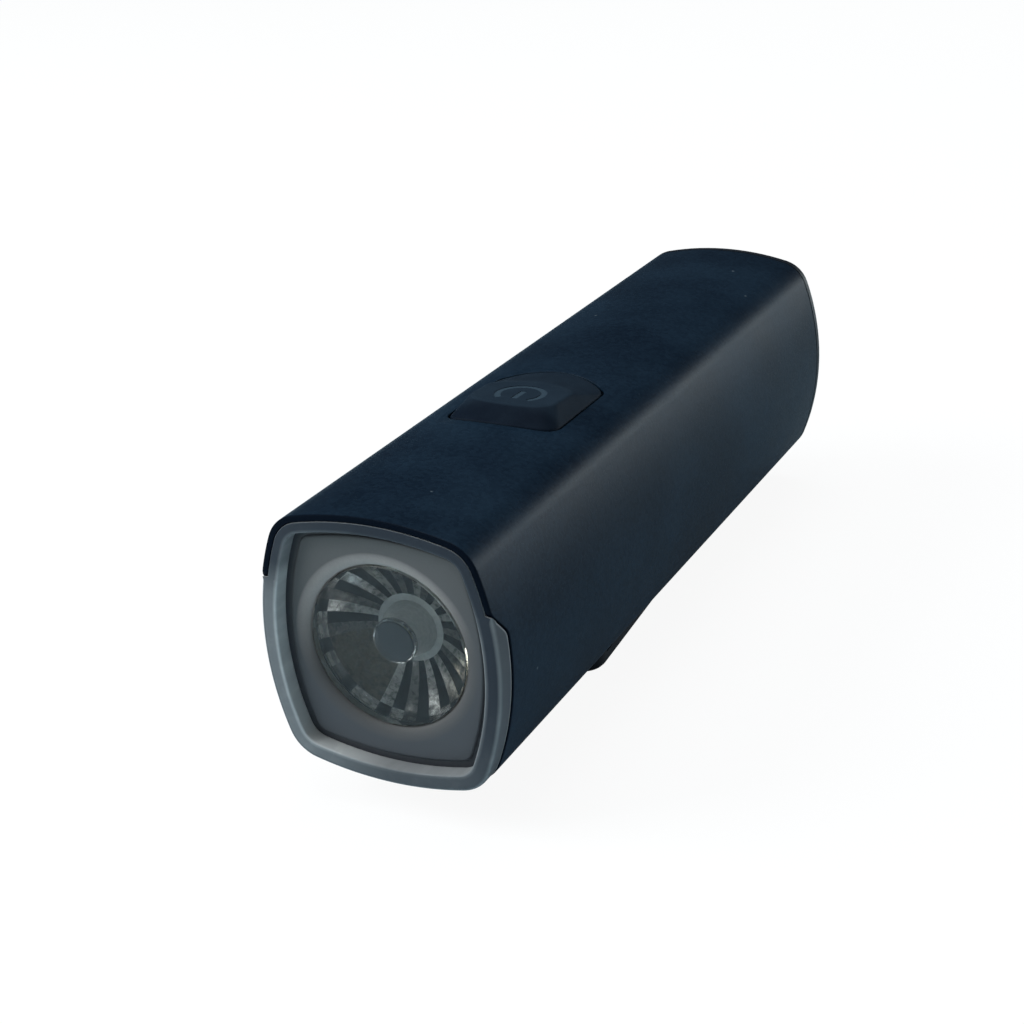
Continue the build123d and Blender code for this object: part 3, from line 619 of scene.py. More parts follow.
def buttonOutline(grow):
    return tombstone(
        button["half"] + grow, button["front"] - grow, button["frontFlank"] - grow, button["back"] + grow,
        button["backFlank"] + grow, button["corner"] + grow)


def crownHeight(x, inset=0.0):
    radius = outlineShape["crown"]
    return halfHeight - radius + math.sqrt((radius - inset) ** 2 - x ** 2)


# tube

tube = {
    "wall": 1.5, "lip": 0.75, "seat": 3.5, "round": 0.2, "firstRing": 4.5, "sharp": 40,
    "patchHalf": 9.0, "patchFront": 26.0, "patchBack": 49.5, "patchSteps": 47, "slack": 1e-6, "parallel": 1e-9,
}


def makeTube():
    # rings run back outside and forward inside; a patch round the button's hole is left out and filled below
    r, wall, lip, steps = tube["round"], tube["wall"], tube["lip"], tube["patchSteps"]
    part = roundShare * r
    low, high = tube["patchFront"], tube["patchBack"]
    lines = [low + (high - low) * step / steps for step in range(steps + 1)]
    rings = [
        ring(r, notchEdge), ring(part, lambda z: notchEdge(z) + part), ring(0, lambda z: notchEdge(z) + r),
        ring(0, tube["firstRing"])]
    outerStart = len(rings)
    rings += [ring(0, y) for y in lines]
    rings += [ring(0, tubeEnd - r), ring(part, tubeEnd - part), ring(r, tubeEnd), ring(wall, tubeEnd)]
    innerStart = len(rings)
    rings += [ring(wall, y) for y in reversed(lines)]
    rings += [ring(wall, tube["seat"]), ring(lip, tube["seat"]), ring(lip, lambda z: notchEdge(z) + part),
              ring(lip - part, notchEdge)]
    points, faces = grid(rings, closeAlong=True)
    count = len(samples)
    inPatch = [
        index for index, (x, z) in enumerate(edge(sample, 0) for sample in samples)
        if z > 0 and abs(x) <= tube["patchHalf"]]
    first, last = inPatch[0], inPatch[-1]

    def hidden(face):
        row, column = face[0] // count, face[0] % count
        inRows = any(start <= row < start + steps for start in (outerStart, innerStart))
        return inRows and first <= column < last

    faces = [face for face in faces if not hidden(face)]
    # the front end rings and the inner lip rings carry painted shade
    lipPaintedLight = [1.0 if row < 2 or row >= len(rings) - 3 else 0.0 for row in range(len(rings)) for _ in samples]
    hole = buttonOutline(button["gap"])
    middle = (button["front"] + button["back"]) / 2

    def around(start, way):
        # the patch's border in order, as point numbers
        rows = [start + (step if way > 0 else steps - step) for step in range(steps + 1)]
        loop = [rows[0] * count + column for column in range(first, last)]
        loop += [row * count + last for row in rows[:-1]]
        loop += [rows[-1] * count + column for column in range(last, first, -1)]
        return loop + [row * count + first for row in reversed(rows[1:])]

    def onHole(point, grow):
        # where the line from the hole's middle to the point crosses the hole's edge
        angle = math.atan2(point[1] - middle, point[0])
        wayX, wayY = math.cos(angle), math.sin(angle)
        slack = tube["slack"]
        best = None
        for index, (ax, ay) in enumerate(hole):
            bx, by = hole[(index + 1) % len(hole)]
            cross = (bx - ax) * wayY - (by - ay) * wayX
            if abs(cross) < tube["parallel"]:
                continue
            share = -(ax * wayY - (ay - middle) * wayX) / cross
            if -slack <= share < 1 + slack:
                x, y = ax + (bx - ax) * share, ay + (by - ay) * share
                if x * wayX + (y - middle) * wayY > 0:
                    best = (x + grow * wayX, y + grow * wayY)
        return best

    outerLoop, innerLoop = around(outerStart, 1), around(innerStart, -1)
    whole = button["holeRound"]
    some = roundShare * whole
    loops = [outerLoop]
    # border loop, inset from the crown, share of the way to the hole, way out from its edge, drop
    for border, inset, share, grow, drop in (
            (outerLoop, 0, 0.5, 0, 0), (outerLoop, 0, 1, whole, 0), (outerLoop, 0, 1, some, -some),
            (outerLoop, 0, 1, 0, -whole), (innerLoop, wall, 1, 0, 0), (innerLoop, wall, 0.5, 0, 0)):
        loops.append([len(points) + index for index in range(len(border))])
        for number in border:
            x0, y0, z0 = points[number]
            x1, y1 = onHole((x0, y0), grow)
            x, y = x0 + (x1 - x0) * share, y0 + (y1 - y0) * share
            points.append((x, y, crownHeight(x, inset) + drop))
    loops.append(innerLoop)
    for here, there in zip(loops, loops[1:]):
        for index in range(len(here)):
            after = (index + 1) % len(here)
            faces.append((here[index], here[after], there[after], there[index]))
    held = {"lip": lipPaintedLight + [0.0] * (len(points) - len(lipPaintedLight))}
    return makePiece("tube", points, faces, "anodised", "housing", ["body_tube"],
                     tube["sharp"], held)


tubePiece = makeTube()
print("tube made:", len(tubePiece.data.polygons), "faces")


# lens: one smoky moulding, whose lower half shows in the cut-back

lens = {
    "skin": 0.1, "gap": 0.1, "ledge": 0.8, "rim": 2.05, "recess": 1.85, "back": 3.0, "inside": 1.5,
    "round": 0.5, "roundMost": 0.9, "innerRound": 0.2, "thin": 0.14, "hiddenRound": 0.12, "bead": 0.22,
    "beadMost": 0.45, "wallSteps": 3, "roundSteps": 6, "faceShares": (0.25, 0.5, 0.75), "sharp": 40,
    # the tones below are painted light and painted highlights
    "faceTone": 0.045, "sideTone": 0.36, "upperSide": 0.1, "bottomTone": 0.14, "wallTone": 0.5,
    "sideWallTone": 1.4, "upperWall": 0.3, "wallFade": 5.0, "wallShares": (1, 1, 0.9, 0.75, 0.5),
    "turnTones": (0.2, 0.4, 0.5, 0.36, 0.24, 0.16), "beadTones": (0.14, 0.5, 0.6, 0.6), "hiddenTone": 0.4,
    "insideTone": 0.2,
}


def makeLens():
    # tone is painted light on the smoky plastic: its walls, edges, left side and bottom are painted lighter,
    # with painted highlights along the front round and the back bead, and its face stays dark; walls and sides
    # fade darker upwards, where the tube covers them
    sections, tones = [], []
    for sample in samples:
        z = edge(sample, lens["skin"])[1]
        deep = notchEdge(z, lens["gap"])
        shown = deep > lens["thin"]
        side = lens["skin"] if shown else lens["ledge"]
        r = min(lens["round"], deep * lens["roundMost"]) if shown else lens["hiddenRound"]
        deep = deep if shown else r
        turned = max(0, -edge(sample, 0)[0] / halfWidth)
        raised = min(1, max(0, (z - notch["low"]) / lens["wallFade"]))
        lowered = max(0, -z / halfHeight) ** 2
        sideways = lens["sideTone"] * turned * (1 - (1 - lens["upperSide"]) * raised)
        face = lens["faceTone"] + sideways + lens["bottomTone"] * lowered
        inner = (lens["wallTone"] + lens["sideWallTone"] * turned) * (1 - (1 - lens["upperWall"]) * raised)
        # the section's outline, from the recess round the front face to the seat, as (inset, y)
        rim, q = lens["rim"], lens["innerRound"]
        path = [(rim, lens["recess"]), (rim, q)]
        for step in range(1, lens["wallSteps"] + 1):
            angle = math.pi / 2 * step / lens["wallSteps"]
            path.append((rim - q + q * math.cos(angle), q - q * math.sin(angle)))
        faceStart = path[-1][0]
        path += [(faceStart + (side + r - faceStart) * share, 0) for share in lens["faceShares"]]
        for step in range(lens["roundSteps"] + 1):
            angle = math.pi / 2 * step / lens["roundSteps"]
            path.append((side + r - r * math.sin(angle), r - r * math.cos(angle)))
        bead = min(lens["bead"], (deep - r) * lens["beadMost"]) if shown else 0
        part = roundShare * bead
        path += [(side, deep - 2 * bead), (side, deep - bead), (side + part, deep - part), (side + bead, deep)]
        path += [(lens["ledge"], deep), (lens["ledge"], lens["back"]), (lens["inside"], lens["back"]),
                 (lens["inside"], lens["recess"])]
        sections.append([(edge(sample, inset)[0], y, edge(sample, inset)[1]) for inset, y in path])
        wall = [inner * share for share in lens["wallShares"]]
        turn = [face, face, *lens["turnTones"]] if shown else [face] * 4 + [lens["hiddenTone"]] * 4
        tones.append([*wall, face, face, *turn, *lens["beadTones"], *[lens["insideTone"]] * 4])
    count = len(sections[0])
    rings = [[section[index] for section in sections] for index in range(count)]
    points, faces = grid(rings, closeAlong=True)
    held = {"tone": [row[index] for index in range(count) for row in tones]}
    return makePiece("lens", points, faces, "smoked", "housing", ["front_lens"], lens["sharp"],
                     held)


makeLens()


# bezel: a matte plate with a shallow moat round it and a soft lip at its round window

bezelLow, bezelHigh = span("optic_bezel")
bezel = {
    "edge": 1.55, "moatBack": 1.85, "step": 2.9, "stepRound": 0.3, "front": bezelLow.y, "back": bezelHigh.y,
    "window": 9.4, "lipWide": 1.7, "lipDeep": 0.95, "stepSteps": 4, "lipSteps": 10, "farInset": 6.0,
    "faceShares": (0.3, 0.65), "sharp": 50,
}


def windowRing(radius, y):
    points = []
    for sample in samples:
        x, z = edge(sample, bezel["step"])
        away = math.hypot(x, z)
        points.append((x / away * radius, y, z / away * radius))
    return points


def blended(first, second, share):
    return [tuple(a + (b - a) * share for a, b in zip(p, q)) for p, q in zip(first, second)]


def makeBezel():
    front, r = bezel["front"], bezel["stepRound"]
    drop = bezel["moatBack"] - front
    rings = [ring(bezel["edge"], bezel["back"]), ring(bezel["edge"], bezel["moatBack"])]
    insets = [bezel["edge"], bezel["edge"]]
    for step in range(bezel["stepSteps"] + 1):
        angle = math.pi / 2 * step / bezel["stepSteps"]
        inset = bezel["step"] + r * (1 - math.cos(angle))
        rings.append(ring(inset, bezel["moatBack"] - drop * math.sin(angle)))
        insets.append(inset)
    lipStart = windowRing(bezel["window"] + bezel["lipWide"], front)
    plain = rings[-1]
    for share in bezel["faceShares"]:
        rings.append(blended(plain, lipStart, share))
        insets.append(insets[-1] + 1)
    lipPaintedLight = [0.0] * len(rings)
    for step in range(bezel["lipSteps"] + 1):
        angle = math.pi / 2 * step / bezel["lipSteps"]
        radius = bezel["window"] + bezel["lipWide"] * (1 - math.sin(angle))
        rings.append(windowRing(radius, front + bezel["lipDeep"] * (1 - math.cos(angle))))
        lipPaintedLight.append(math.sin(angle) ** 0.5)
    rings.append(windowRing(bezel["window"], bezel["back"]))
    lipPaintedLight.append(1.0)
    insets += [bezel["farInset"]] * (len(rings) - len(insets))
    points, faces = grid(rings, closeAlong=True)
    held = {"inset": [i for i in insets for _ in samples], "lip": [i for i in lipPaintedLight for _ in samples]}
    return makePiece("bezel", points, faces, "bezel", "housing", ["optic_bezel"],
                     bezel["sharp"], held)


makeBezel()
print("lens and bezel made")


# optic: a clear moulding with a faceted flank, a flange and an air space over the emitter

opticLow, opticHigh = span("tir_optic")
optic = {
    "flutes": 36, "fluteSteps": 10, "window": 9.35, "flangeFront": 3.65, "flangeBack": 4.65, "round": 0.12,
    "rim": 9.6, "root": 4.0, "steps": 14, "rise": 1.5, "fall": 0.85, "band": 0.27, "bandBulge": 0.28,
    "bandSteps": 3, "roof": 2.45, "mouth": 3.2, "cover": 2.2, "knurl": 0.07, "knurlDeep": 1.1, "sharp": 8,
    "flankEnd": 0.99, "flankReach": 0.93,
}
opticFinishes = [*flankTones, "cavityRoof", "cavityWall", "cavityRim"]
# finishes along the flutes and round the outer band, as places in the list above; some flutes all carry the
# painted warm reflection of the emitter
fluteTones = {"flank": (1, 2, 0, 2, 0, 2, 1, 0, 2), "band": (0, 2, 0, 1, 2, 0), "paintedEmitterReflection": range(19, 25)}


def flankRadius(along):
    # the flank narrows from the rim to the root, steeper towards the root
    return optic["root"] + (optic["rim"] - optic["root"]) * (1 - along ** optic["rise"]) ** optic["fall"]


def makeOptic():
    front, back, flange = opticLow.y, opticHigh.y, opticHigh.x
    flutes, per = optic["flutes"], optic["fluteSteps"]
    count = flutes * per
    start = optic["flangeBack"]
    window, r = optic["window"], optic["round"]
    part = roundShare * r

    def circle(radius, y, knurl=0.0):
        made = []
        for index in range(count):
            angle = 2 * math.pi * index / count
            reach = radius + knurl * (1 if index // 2 % 2 else -1)
            made.append((reach * math.cos(angle), y, reach * math.sin(angle)))
        return made

    def fluted(radius, y):
        # flat flutes between sharp ridges
        made = []
        for index in range(count):
            flute, step = divmod(index, per)
            first, last = (2 * math.pi * (flute + way) / flutes for way in (0, 1))
            share = step / per
            x = math.cos(first) * (1 - share) + math.cos(last) * share
            z = math.sin(first) * (1 - share) + math.sin(last) * share
            made.append((x * radius, y, z * radius))
        return made

    # front face and flange, the bulging outer band, the flank, then up the cavity to its roof
    rings = [circle(window - r, front), circle(window - part, front + part), circle(window, front + r),
             circle(window, optic["flangeFront"]), circle(flange, optic["flangeFront"]), circle(flange, start),
             fluted(optic["rim"], start)]
    band, bandSteps = optic["band"], optic["bandSteps"]
    for step in range(1, bandSteps + 1):
        share = step / bandSteps
        bulge = optic["bandBulge"] * math.sin(math.pi * share) if step < bandSteps else 0
        radius = optic["rim"] + (flankRadius(band) - optic["rim"]) * share + bulge
        rings.append(fluted(radius, start + (back - start) * band * share))
    for step in range(1, optic["steps"] + 1):
        along = band + (1 - band) * step / optic["steps"]
        rings.append(fluted(flankRadius(along), start + (back - start) * along))
    roof, mouth, knurl, deep = optic["roof"], optic["mouth"], optic["knurl"], optic["knurlDeep"]
    roofY = front + optic["cover"]
    wallRadius = roof + (mouth - roof) * deep / (back - roofY)
    rings += [circle(mouth, back), circle(wallRadius, roofY + deep), circle(wallRadius, roofY + deep, knurl),
              circle(roof + knurl, roofY + 2 * r, knurl), circle(roof, roofY + r), circle(roof - r, roofY)]
    points, faces = grid(rings)
    last = (len(rings) - 1) * count
    points += [(0, roofY, 0), (0, front, 0)]
    for index in range(count):
        after = (index + 1) % count
        faces += [(last + index, last + after, len(points) - 2), (after, index, len(points) - 1)]
    piece = makePiece("optic", points, faces, "clear", "housing", ["tir_optic"],
                      optic["sharp"])
    for name in opticFinishes:
        piece.data.materials.append(materials[name])

    def finishOf(x, y, z):
        # a place in opticFinishes, or -1 where the moulding stays clear
        along, away = (y - start) / (back - start), math.hypot(x, z)
        flute = int((math.atan2(z, x) / (2 * math.pi) % 1) * flutes)
        onFlank = 0 < along < optic["flankEnd"]
        if onFlank and away > min(optic["root"], flankRadius(along)) * optic["flankReach"]:
            if along >= band and flute in fluteTones["paintedEmitterReflection"]:
                return opticFinishes.index("flankPaintedEmitterReflection")
            tones = fluteTones["band" if along < band else "flank"]
            return tones[flute % len(tones)]
        if abs(y - roofY) < r and away < roof:
            return opticFinishes.index("cavityRoof")
        if y > back - r:
            return opticFinishes.index("cavityRim")
        return opticFinishes.index("cavityWall") if y > roofY + deep and away < mouth else -1

    for face in piece.data.polygons:
        face.material_index = 1 + finishOf(*inBody(face.center))


makeOptic()
print("optic made")


# button: a soft pad whose foot follows the tube's crown

padSharp = 38    # its edges sharper than this, in degrees, stay crisp


def topHeight(y):
    return button["topHeight"] - (y - topMiddle) * math.tan(math.radians(button["tilt"]))


def makeButton():
    base = buttonOutline(0)
    top = tombstone(button["topHalf"], button["topFront"], button["topFrontFlank"], button["topBack"],
                    button["topBackFlank"], button["corner"])
    low = buttonLow.z
    loops = [[(x, y, low) for x, y in base]]
    foot = button["footRound"]
    for grow, drop in ((0, foot), (-roundShare * foot, roundShare * foot)):
        wide = 1 + grow / button["half"]
        loops.append([(x * wide, y, crownHeight(x) + button["proud"] - drop) for x, y in base])
    start = loops[-1]

    def slope(share, sink):
        # a loop on the way from the foot to the top's edge
        made = []
        for (x0, y0, z0), (x1, y1) in zip(start, top):
            x, y = x0 + (x1 - x0) * share, y0 + (y1 - y0) * share
            z = z0 + (topHeight(y1) - z0) * share - sink
            made.append((x, y, z))
        return made

    loops += [slope(share, button["flankSink"] * math.sin(math.pi * share)) for share in button["flankShares"]]
    loops += [slope(share, sink) for share, sink in button["edgeShares"]]
    for share in button["topShares"]:
        shrunk = [(x * share, topMiddle + (y - topMiddle) * share) for x, y in top]
        loops.append([(x, y, topHeight(y)) for x, y in shrunk])
    points, faces = grid(loops)
    count = len(base)
    last = (len(loops) - 1) * count
    faces.append(tuple(range(last, last + count)))
    faces.append(tuple(reversed(range(count))))
    return makePiece("buttonPad", points, faces, "rubber", "button", ["button_pad"], padSharp)


symbol = {
    "place": 35.7, "radius": 3.15, "width": 0.8, "opening": 42, "barStart": -1.9, "barEnd": 1.0, "depth": 0.07,
    "margin": 0.1, "level": 0.9, "steps": 60, "cutHeight": 1.0, "sharp": 30,
}


def makeSymbol(pad):
    # a ring with a gap at the front and a bar in it, sunk into the pad's top
    outer, inner = symbol["radius"], symbol["radius"] - symbol["width"]
    half = symbol["width"] / 2
    opening = math.radians(symbol["opening"])
    steps = symbol["steps"]
    turns = [opening + (2 * math.pi - 2 * opening) * step / steps for step in range(steps + 1)]
    arcs = [[(radius * math.sin(a), -radius * math.cos(a)) for a in turns] for radius in (outer, inner)]
    start, end = symbol["barStart"], symbol["barEnd"]
    line = [(-half, start), (half, start), (half, end), (-half, end)]
    parts = []
    for outline in (arcs[0] + list(reversed(arcs[1])), line):
        plan = [(x, symbol["place"] + y) for x, y in outline]
        lifts = (-symbol["depth"], symbol["cutHeight"])
        loops = [[(x, y, topHeight(y) + lift) for x, y in plan] for lift in lifts]
        points, faces = grid(loops)
        count = len(plan)
        # each end is a row of quads across the outline, which is one quad for the bar
        for first in (0, count):
            last = first + count - 1
            for index in range(count // 2 - 1):
                faces.append((first + index, first + index + 1, last - index - 1, last - index))
        parts.append((points, faces))
    points, faces = joined(parts)
    cutter = makePiece("symbolCutter", points, faces, "symbol", "button", smooth=symbol["sharp"])
    pad.data.materials.append(materials["symbol"])
    cut = pad.modifiers.new("symbol", "BOOLEAN")
    cut.operation, cut.solver, cut.object = "DIFFERENCE", "EXACT", cutter
    pad.modifiers.move(1, 0)
    # the cut is applied to the mesh, without the weighted normals
    weigh = pad.modifiers["weighNormals"]
    weigh.show_viewport = False
    graph = bpy.context.evaluated_depsgraph_get()
    graph.update()
    mesh = bpy.data.meshes.new_from_object(pad.evaluated_get(graph))
    pad.modifiers.remove(cut)
    weigh.show_viewport = True
    pad.data = mesh
    for face in mesh.polygons:
        x, y, z = inBody(face.center)
        sunk = symbol["depth"] / 2 < topHeight(y) - z < symbol["depth"] * 2
        within = math.hypot(x, y - symbol["place"]) < symbol["radius"] + symbol["margin"]
        face.material_index = 1 if sunk and within and abs(face.normal.z) > symbol["level"] else 0
    mesh.set_sharp_from_angle(angle=math.radians(padSharp))
    bpy.data.objects.remove(cutter)


padPiece = makeButton()
makeSymbol(padPiece)
print("button made")


# port cover: one piece of rubber, with a thin web between its plate and its anchor

plateLow, plateHigh = span("port_cover")
anchorLow, anchorHigh = span("port_cover_anchor")
cover = {
    "half": 7.3, "height": 9.0, "corner": 3.9, "inner": 104.95, "outer": bodyEnd, "innerSoft": 0.1, "soft": 0.3,
    "sunk": 0.2, "stopperHalf": 6.0, "stopperHeight": 6.2, "stopperCorner": 3.0, "stopperFront": plateLow.y,
    "stopperSoft": 0.25, "earHalf": 1.2, "earInner": 105.3, "earOuter": bodyEnd - 0.1, "earRoot": 6.55,
    "earCorner": 0.5, "earSoft": (0.15, 0.2), "anchorHeight": 2.8, "anchorCorner": 0.35, "anchorSoft": 0.25,
    "lugRadius": 1.1, "lugBarb": 1.7, "lugTip": anchorLow.y, "barbLength": 0.9, "lugSides": 28,
    "webHalf": 3.5, "webBevel": 0.12, "webOuter": bodyEnd - 0.16, "webInner": bodyEnd - 0.54, "webThin": 0.08,
    "webSteps": 24, "webOverlap": 0.4, "bendDeep": 0.25, "sharp": 35,
}
coverMiddle = plateHigh.z - cover["height"] / 2
anchorTop = anchorLow.z + cover["anchorHeight"]
lugMiddle = anchorTop - cover["anchorHeight"] / 2


def rounded(low, high, floor, top, corner, inset=0.0, steps=8):
    # a rectangle with round corners, as (x, z)
    points = []
    for turn, (x, z) in enumerate(((high, top), (low, top), (low, floor), (high, floor))):
        cx = x - corner if x == high else x + corner
        cz = z - corner if z == top else z + corner
        for step in range(steps + 1):
            angle = math.pi / 2 * (turn + step / steps)
            points.append((cx + (corner - inset) * math.cos(angle), cz + (corner - inset) * math.sin(angle)))
    return points


def bar(box, corner, start, end, softStart, softEnd=0.05, steps=4):
    # a bar along y with rounded ends
    turns = [math.pi / 2 * step / steps for step in range(steps + 1)]
    loops = [(softStart * (1 - math.sin(a)), start + softStart * (1 - math.cos(a))) for a in turns]
    loops += [(softEnd * (1 - math.cos(a)), end - softEnd * (1 - math.sin(a))) for a in turns]
    return closed([[(x, y, z) for x, z in rounded(*box, corner, inset)] for inset, y in loops])


def closed(rings):
    points, faces = grid(rings)
    count = len(rings[0])
    last = (len(rings) - 1) * count
    return points, faces + [tuple(reversed(range(count))), tuple(range(last, last + count))]


def makeCover():
    # closed shells that overlap a little: plate, stopper, ear, anchor, lug and web
    middle, half, height = coverMiddle, cover["half"], cover["height"] / 2
    outer, inner = cover["outer"], cover["inner"]
    base = inner + cover["sunk"]
    wide, high, earHalf = cover["stopperHalf"], cover["stopperHeight"] / 2, cover["earHalf"]
    plate = bar((-half, half, middle - height, middle + height), cover["corner"], inner, outer,
                cover["innerSoft"], cover["soft"])
    stopper = bar((-wide, wide, middle - high, middle + high), cover["stopperCorner"], cover["stopperFront"],
                  base, cover["stopperSoft"])
    ear = bar((cover["earRoot"], plateHigh.x, middle - earHalf, middle + earHalf), cover["earCorner"],
              cover["earInner"], cover["earOuter"], *cover["earSoft"])
    anchorFloor = lugMiddle * 2 - anchorTop
    anchor = bar((anchorLow.x, anchorHigh.x, anchorFloor, anchorTop), cover["anchorCorner"], inner, outer,
                 cover["innerSoft"], cover["anchorSoft"])
    root, tip = cover["lugRadius"], cover["lugTip"]
    barbEnd = tip + cover["barbLength"]
    turns = [2 * math.pi * step / cover["lugSides"] for step in range(cover["lugSides"])]
    lug = closed([
        [(radius * math.cos(a), y, lugMiddle + radius * math.sin(a)) for a in turns]
        for radius, y in ((root, tip), (cover["lugBarb"], barbEnd), (root, barbEnd), (root, base))])
    slices = []
    low, top = anchorTop - cover["webOverlap"], middle - height + cover["webOverlap"]
    web, bevel = cover["webHalf"], cover["webBevel"]
    for step in range(cover["webSteps"] + 1):
        share = step / cover["webSteps"]
        z = low + (top - low) * share
        thin = cover["webThin"] * math.sin(math.pi * share) ** 2
        out, back = cover["webOuter"] - thin / 2, cover["webInner"] + thin
        slices.append([(-web, back, z), (bevel - web, out, z), (web - bevel, out, z), (web, back, z)])
    points, faces = joined([plate, stopper, ear, anchor, lug, closed(slices)])
    nodes = ["port_cover", "port_cover_anchor"]
    piece = makePiece("portCover", points, faces, "cover", None, nodes, cover["sharp"])
    bend = bodyEnd - cover["bendDeep"]
    foot, hinge = tuple(at(0, bend, anchorTop)), tuple(at(0, bend, middle - height))
    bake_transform(piece)


makeCover()
print("port cover made")


# nodes that keep their own shape take a finish each

nodeFinishes = {
    "lens_seal": "darkSeal", "optic_gasket": "darkSeal", "optic_holder": "holderGrey",
    "led_emitter": "phosphor", "led_board": "whiteBoardPaintedShade", "led_board_screws": "screwSteel",
    "heat_slug": "bareAluminium",
    "led_wires": "wireRed", "inner_frame": "frameBlack", "battery_cell": "cellWrap", "cell_tabs": "nickel",
    "cell_pad": "foam", "main_board": "boardGreen", "board_chips": "chipBlack", "board_inductor": "ferrite",
    "board_screws": "screwSteel", "tact_switch": "chipBlack", "switch_stem": "chipBlack",
    "status_leds": "ledAmber", "usb_socket": "screwSteel",
    "button_plunger": "frameBlack", "rear_cap": "moulded", "rear_seal": "darkSeal",
    "rear_cap_screws": "screwBlack", "mount_cleat": "cleat", "cleat_screws": "screwBlack",
    "nut_plate": "screwSteel",
}
for node, finish in nodeFinishes.items():
    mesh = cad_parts[node].data
    mesh.materials.clear()
    mesh.materials.append(materials[finish])
print("finishes given to", len(nodeFinishes), "nodes")


# camera, floor, room and lamps

camera = {
    "place": (0.090695, -0.195745, 0.108673), "azimuth": 27.356, "elevation": 23.524, "roll": -2.809,
    "lens": 64.01, "sensor": 36.0, "nearest": 0.01, "farthest": 20,
}


def makeCamera():
    data = bpy.data.cameras.new("camera")
    data.lens, data.sensor_width = camera["lens"], camera["sensor"]
    data.clip_start, data.clip_end = camera["nearest"], camera["farthest"]
    azimuth, elevation, roll = (math.radians(camera[key]) for key in ("azimuth", "elevation", "roll"))
    flat = math.cos(elevation)
    forward = Vector((-math.sin(azimuth) * flat, math.cos(azimuth) * flat, -math.sin(elevation)))
    level = forward.cross(Vector((0, 0, 1))).normalized()
    upright = level.cross(forward)
    right = level * math.cos(roll) + upright * math.sin(roll)
    up = upright * math.cos(roll) - level * math.sin(roll)
    holder = bpy.data.objects.new("camera", data)
    bpy.context.scene.collection.objects.link(holder)
    holder.matrix_world = Matrix((
        (right.x, up.x, -forward.x, camera["place"][0]), (right.y, up.y, -forward.y, camera["place"][1]),
        (right.z, up.z, -forward.z, camera["place"][2]), (0, 0, 0, 1)))
    bpy.context.scene.camera = holder


def seenRays(paint):
    # 1 for what the camera sees straight, and 1 for what it sees in a reflection or through something clear
    straight, glossy, through = (
        paint.node("ShaderNodeLightPath", output=name)
        for name in ("Is Camera Ray", "Is Glossy Ray", "Is Transmission Ray"))
    return straight, straight.sum("MAXIMUM", glossy, through)


# the room is a light band along the horizon, brighter to the right, with a soft glow ahead of the light
studio = {
    "floorSize": 6.0, "floorColour": (0.9, 0.9, 0.9), "floorSeen": (0.6, 0.78, 0.88), "glow": 0.92,
    "floorMirrored": (0.38, 0.48, 0.54), "mirroredGlow": 0.05, "roomTint": (0.86, 0.96, 1.0), "worldFill": 0.28,
    "zenith": 0.08, "bandLow": 0.02, "bandHigh": 0.3, "dimSide": -0.3, "lightSide": 0.4,
    "ahead": 1.0, "aheadFull": -0.75, "aheadEnd": -0.35,
}
white = (1, 1, 1)


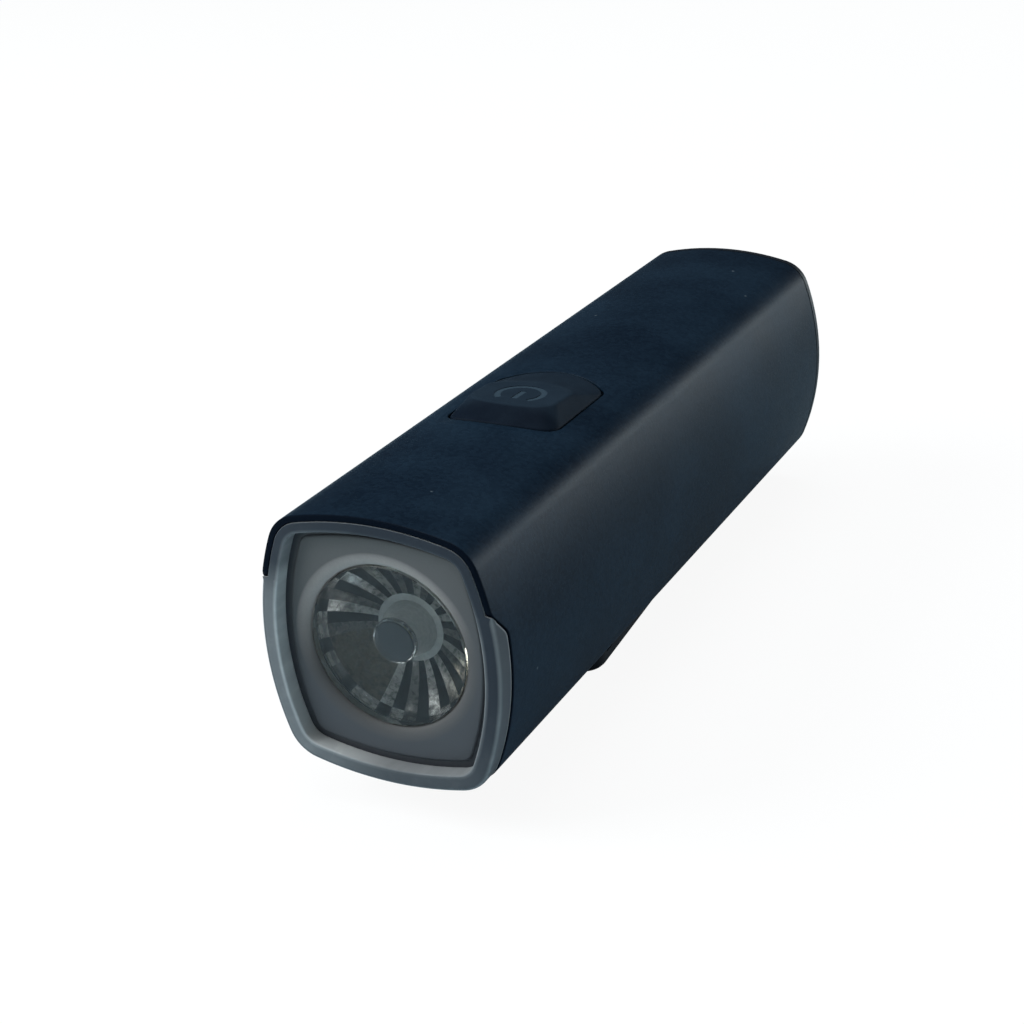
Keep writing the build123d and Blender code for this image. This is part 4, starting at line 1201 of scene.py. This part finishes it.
def makeFloor():
    mesh = bpy.data.meshes.new("floor")
    half = studio["floorSize"] / 2
    corners = [(-half, -half, 0), (half, -half, 0), (half, half, 0), (-half, half, 0)]
    mesh.from_pydata(corners, [], [(0, 1, 2, 3)])
    floor = bpy.data.objects.new("floor", mesh)
    bpy.context.scene.collection.objects.link(floor)
    paint = Paint("floorWhite")
    straight, mirrored = seenRays(paint)
    mirroredOnly = mirrored * (1 - straight)
    colour = paint.mix(straight, studio["floorSeen"], studio["floorColour"])
    colour = paint.mix(mirroredOnly, colour, studio["floorMirrored"])
    plain = paint.node("ShaderNodeBsdfDiffuse", inputs={"Color": colour})
    glow = paint.node("ShaderNodeEmission", inputs={"Color": white, "Strength": 1.0})
    share = straight * studio["glow"] + mirroredOnly * studio["mirroredGlow"]
    mixed = paint.node("ShaderNodeMixShader", inputs={0: share, 1: plain, 2: glow})
    paint.node("ShaderNodeOutputMaterial", inputs={0: mixed})
    mesh.materials.append(paint.material)


def makeWorld():
    world = bpy.data.worlds.new("room")
    bpy.context.scene.world = world
    world.use_nodes = True
    paint = Paint("room", world.node_tree)
    straight, mirrored = seenRays(paint)
    way = paint.node("ShaderNodeTexCoord", output="Generated")
    band = paint.between(paint.axis("Z", way), studio["bandLow"], studio["bandHigh"], 1.0, 0.0)
    side = paint.between(paint.axis("X", way), studio["dimSide"], studio["lightSide"])
    ahead = paint.between(paint.axis("Y", way), studio["aheadFull"], studio["aheadEnd"], 1.0, 0.0)
    room = studio["zenith"] + (1 - studio["zenith"]) * band * side + ahead * studio["ahead"]
    level = straight + (1 - straight) * (mirrored * room + (1 - mirrored) * studio["worldFill"])
    colour = paint.mix(straight, studio["roomTint"], white)
    back = paint.node("ShaderNodeBackground", inputs={"Color": colour, "Strength": level})
    paint.node("ShaderNodeOutputWorld", inputs={0: back})


# lamps: place, what it points at, width, height, power
lamps = {
    "keyLeft": ((-0.6, -0.35, 0.5), (0, 0, 0.02), 0.5, 0.5, 9.0),
    "fillTop": ((-0.1, 0.05, 0.9), (0, 0, 0.02), 0.6, 0.6, 4.5),
    "stripRight": ((0.62, 0.75, 0.1), (0, 0, 0.02), 0.5, 0.34, 5.4),
}


def makeLamps():
    for name, (place, target, width, height, power) in lamps.items():
        data = bpy.data.lights.new(name, "AREA")
        data.shape = "RECTANGLE"
        data.size, data.size_y, data.energy = width, height, power
        data.color = studio["roomTint"]
        lamp = bpy.data.objects.new(name, data)
        bpy.context.scene.collection.objects.link(lamp)
        lamp.location = place
        lamp.rotation_euler = (Vector(target) - Vector(place)).to_track_quat("-Z", "Y").to_euler()


makeCamera()
makeFloor()
makeWorld()
makeLamps()
bpy.context.scene.view_settings.view_transform = "Standard"
print("studio set")
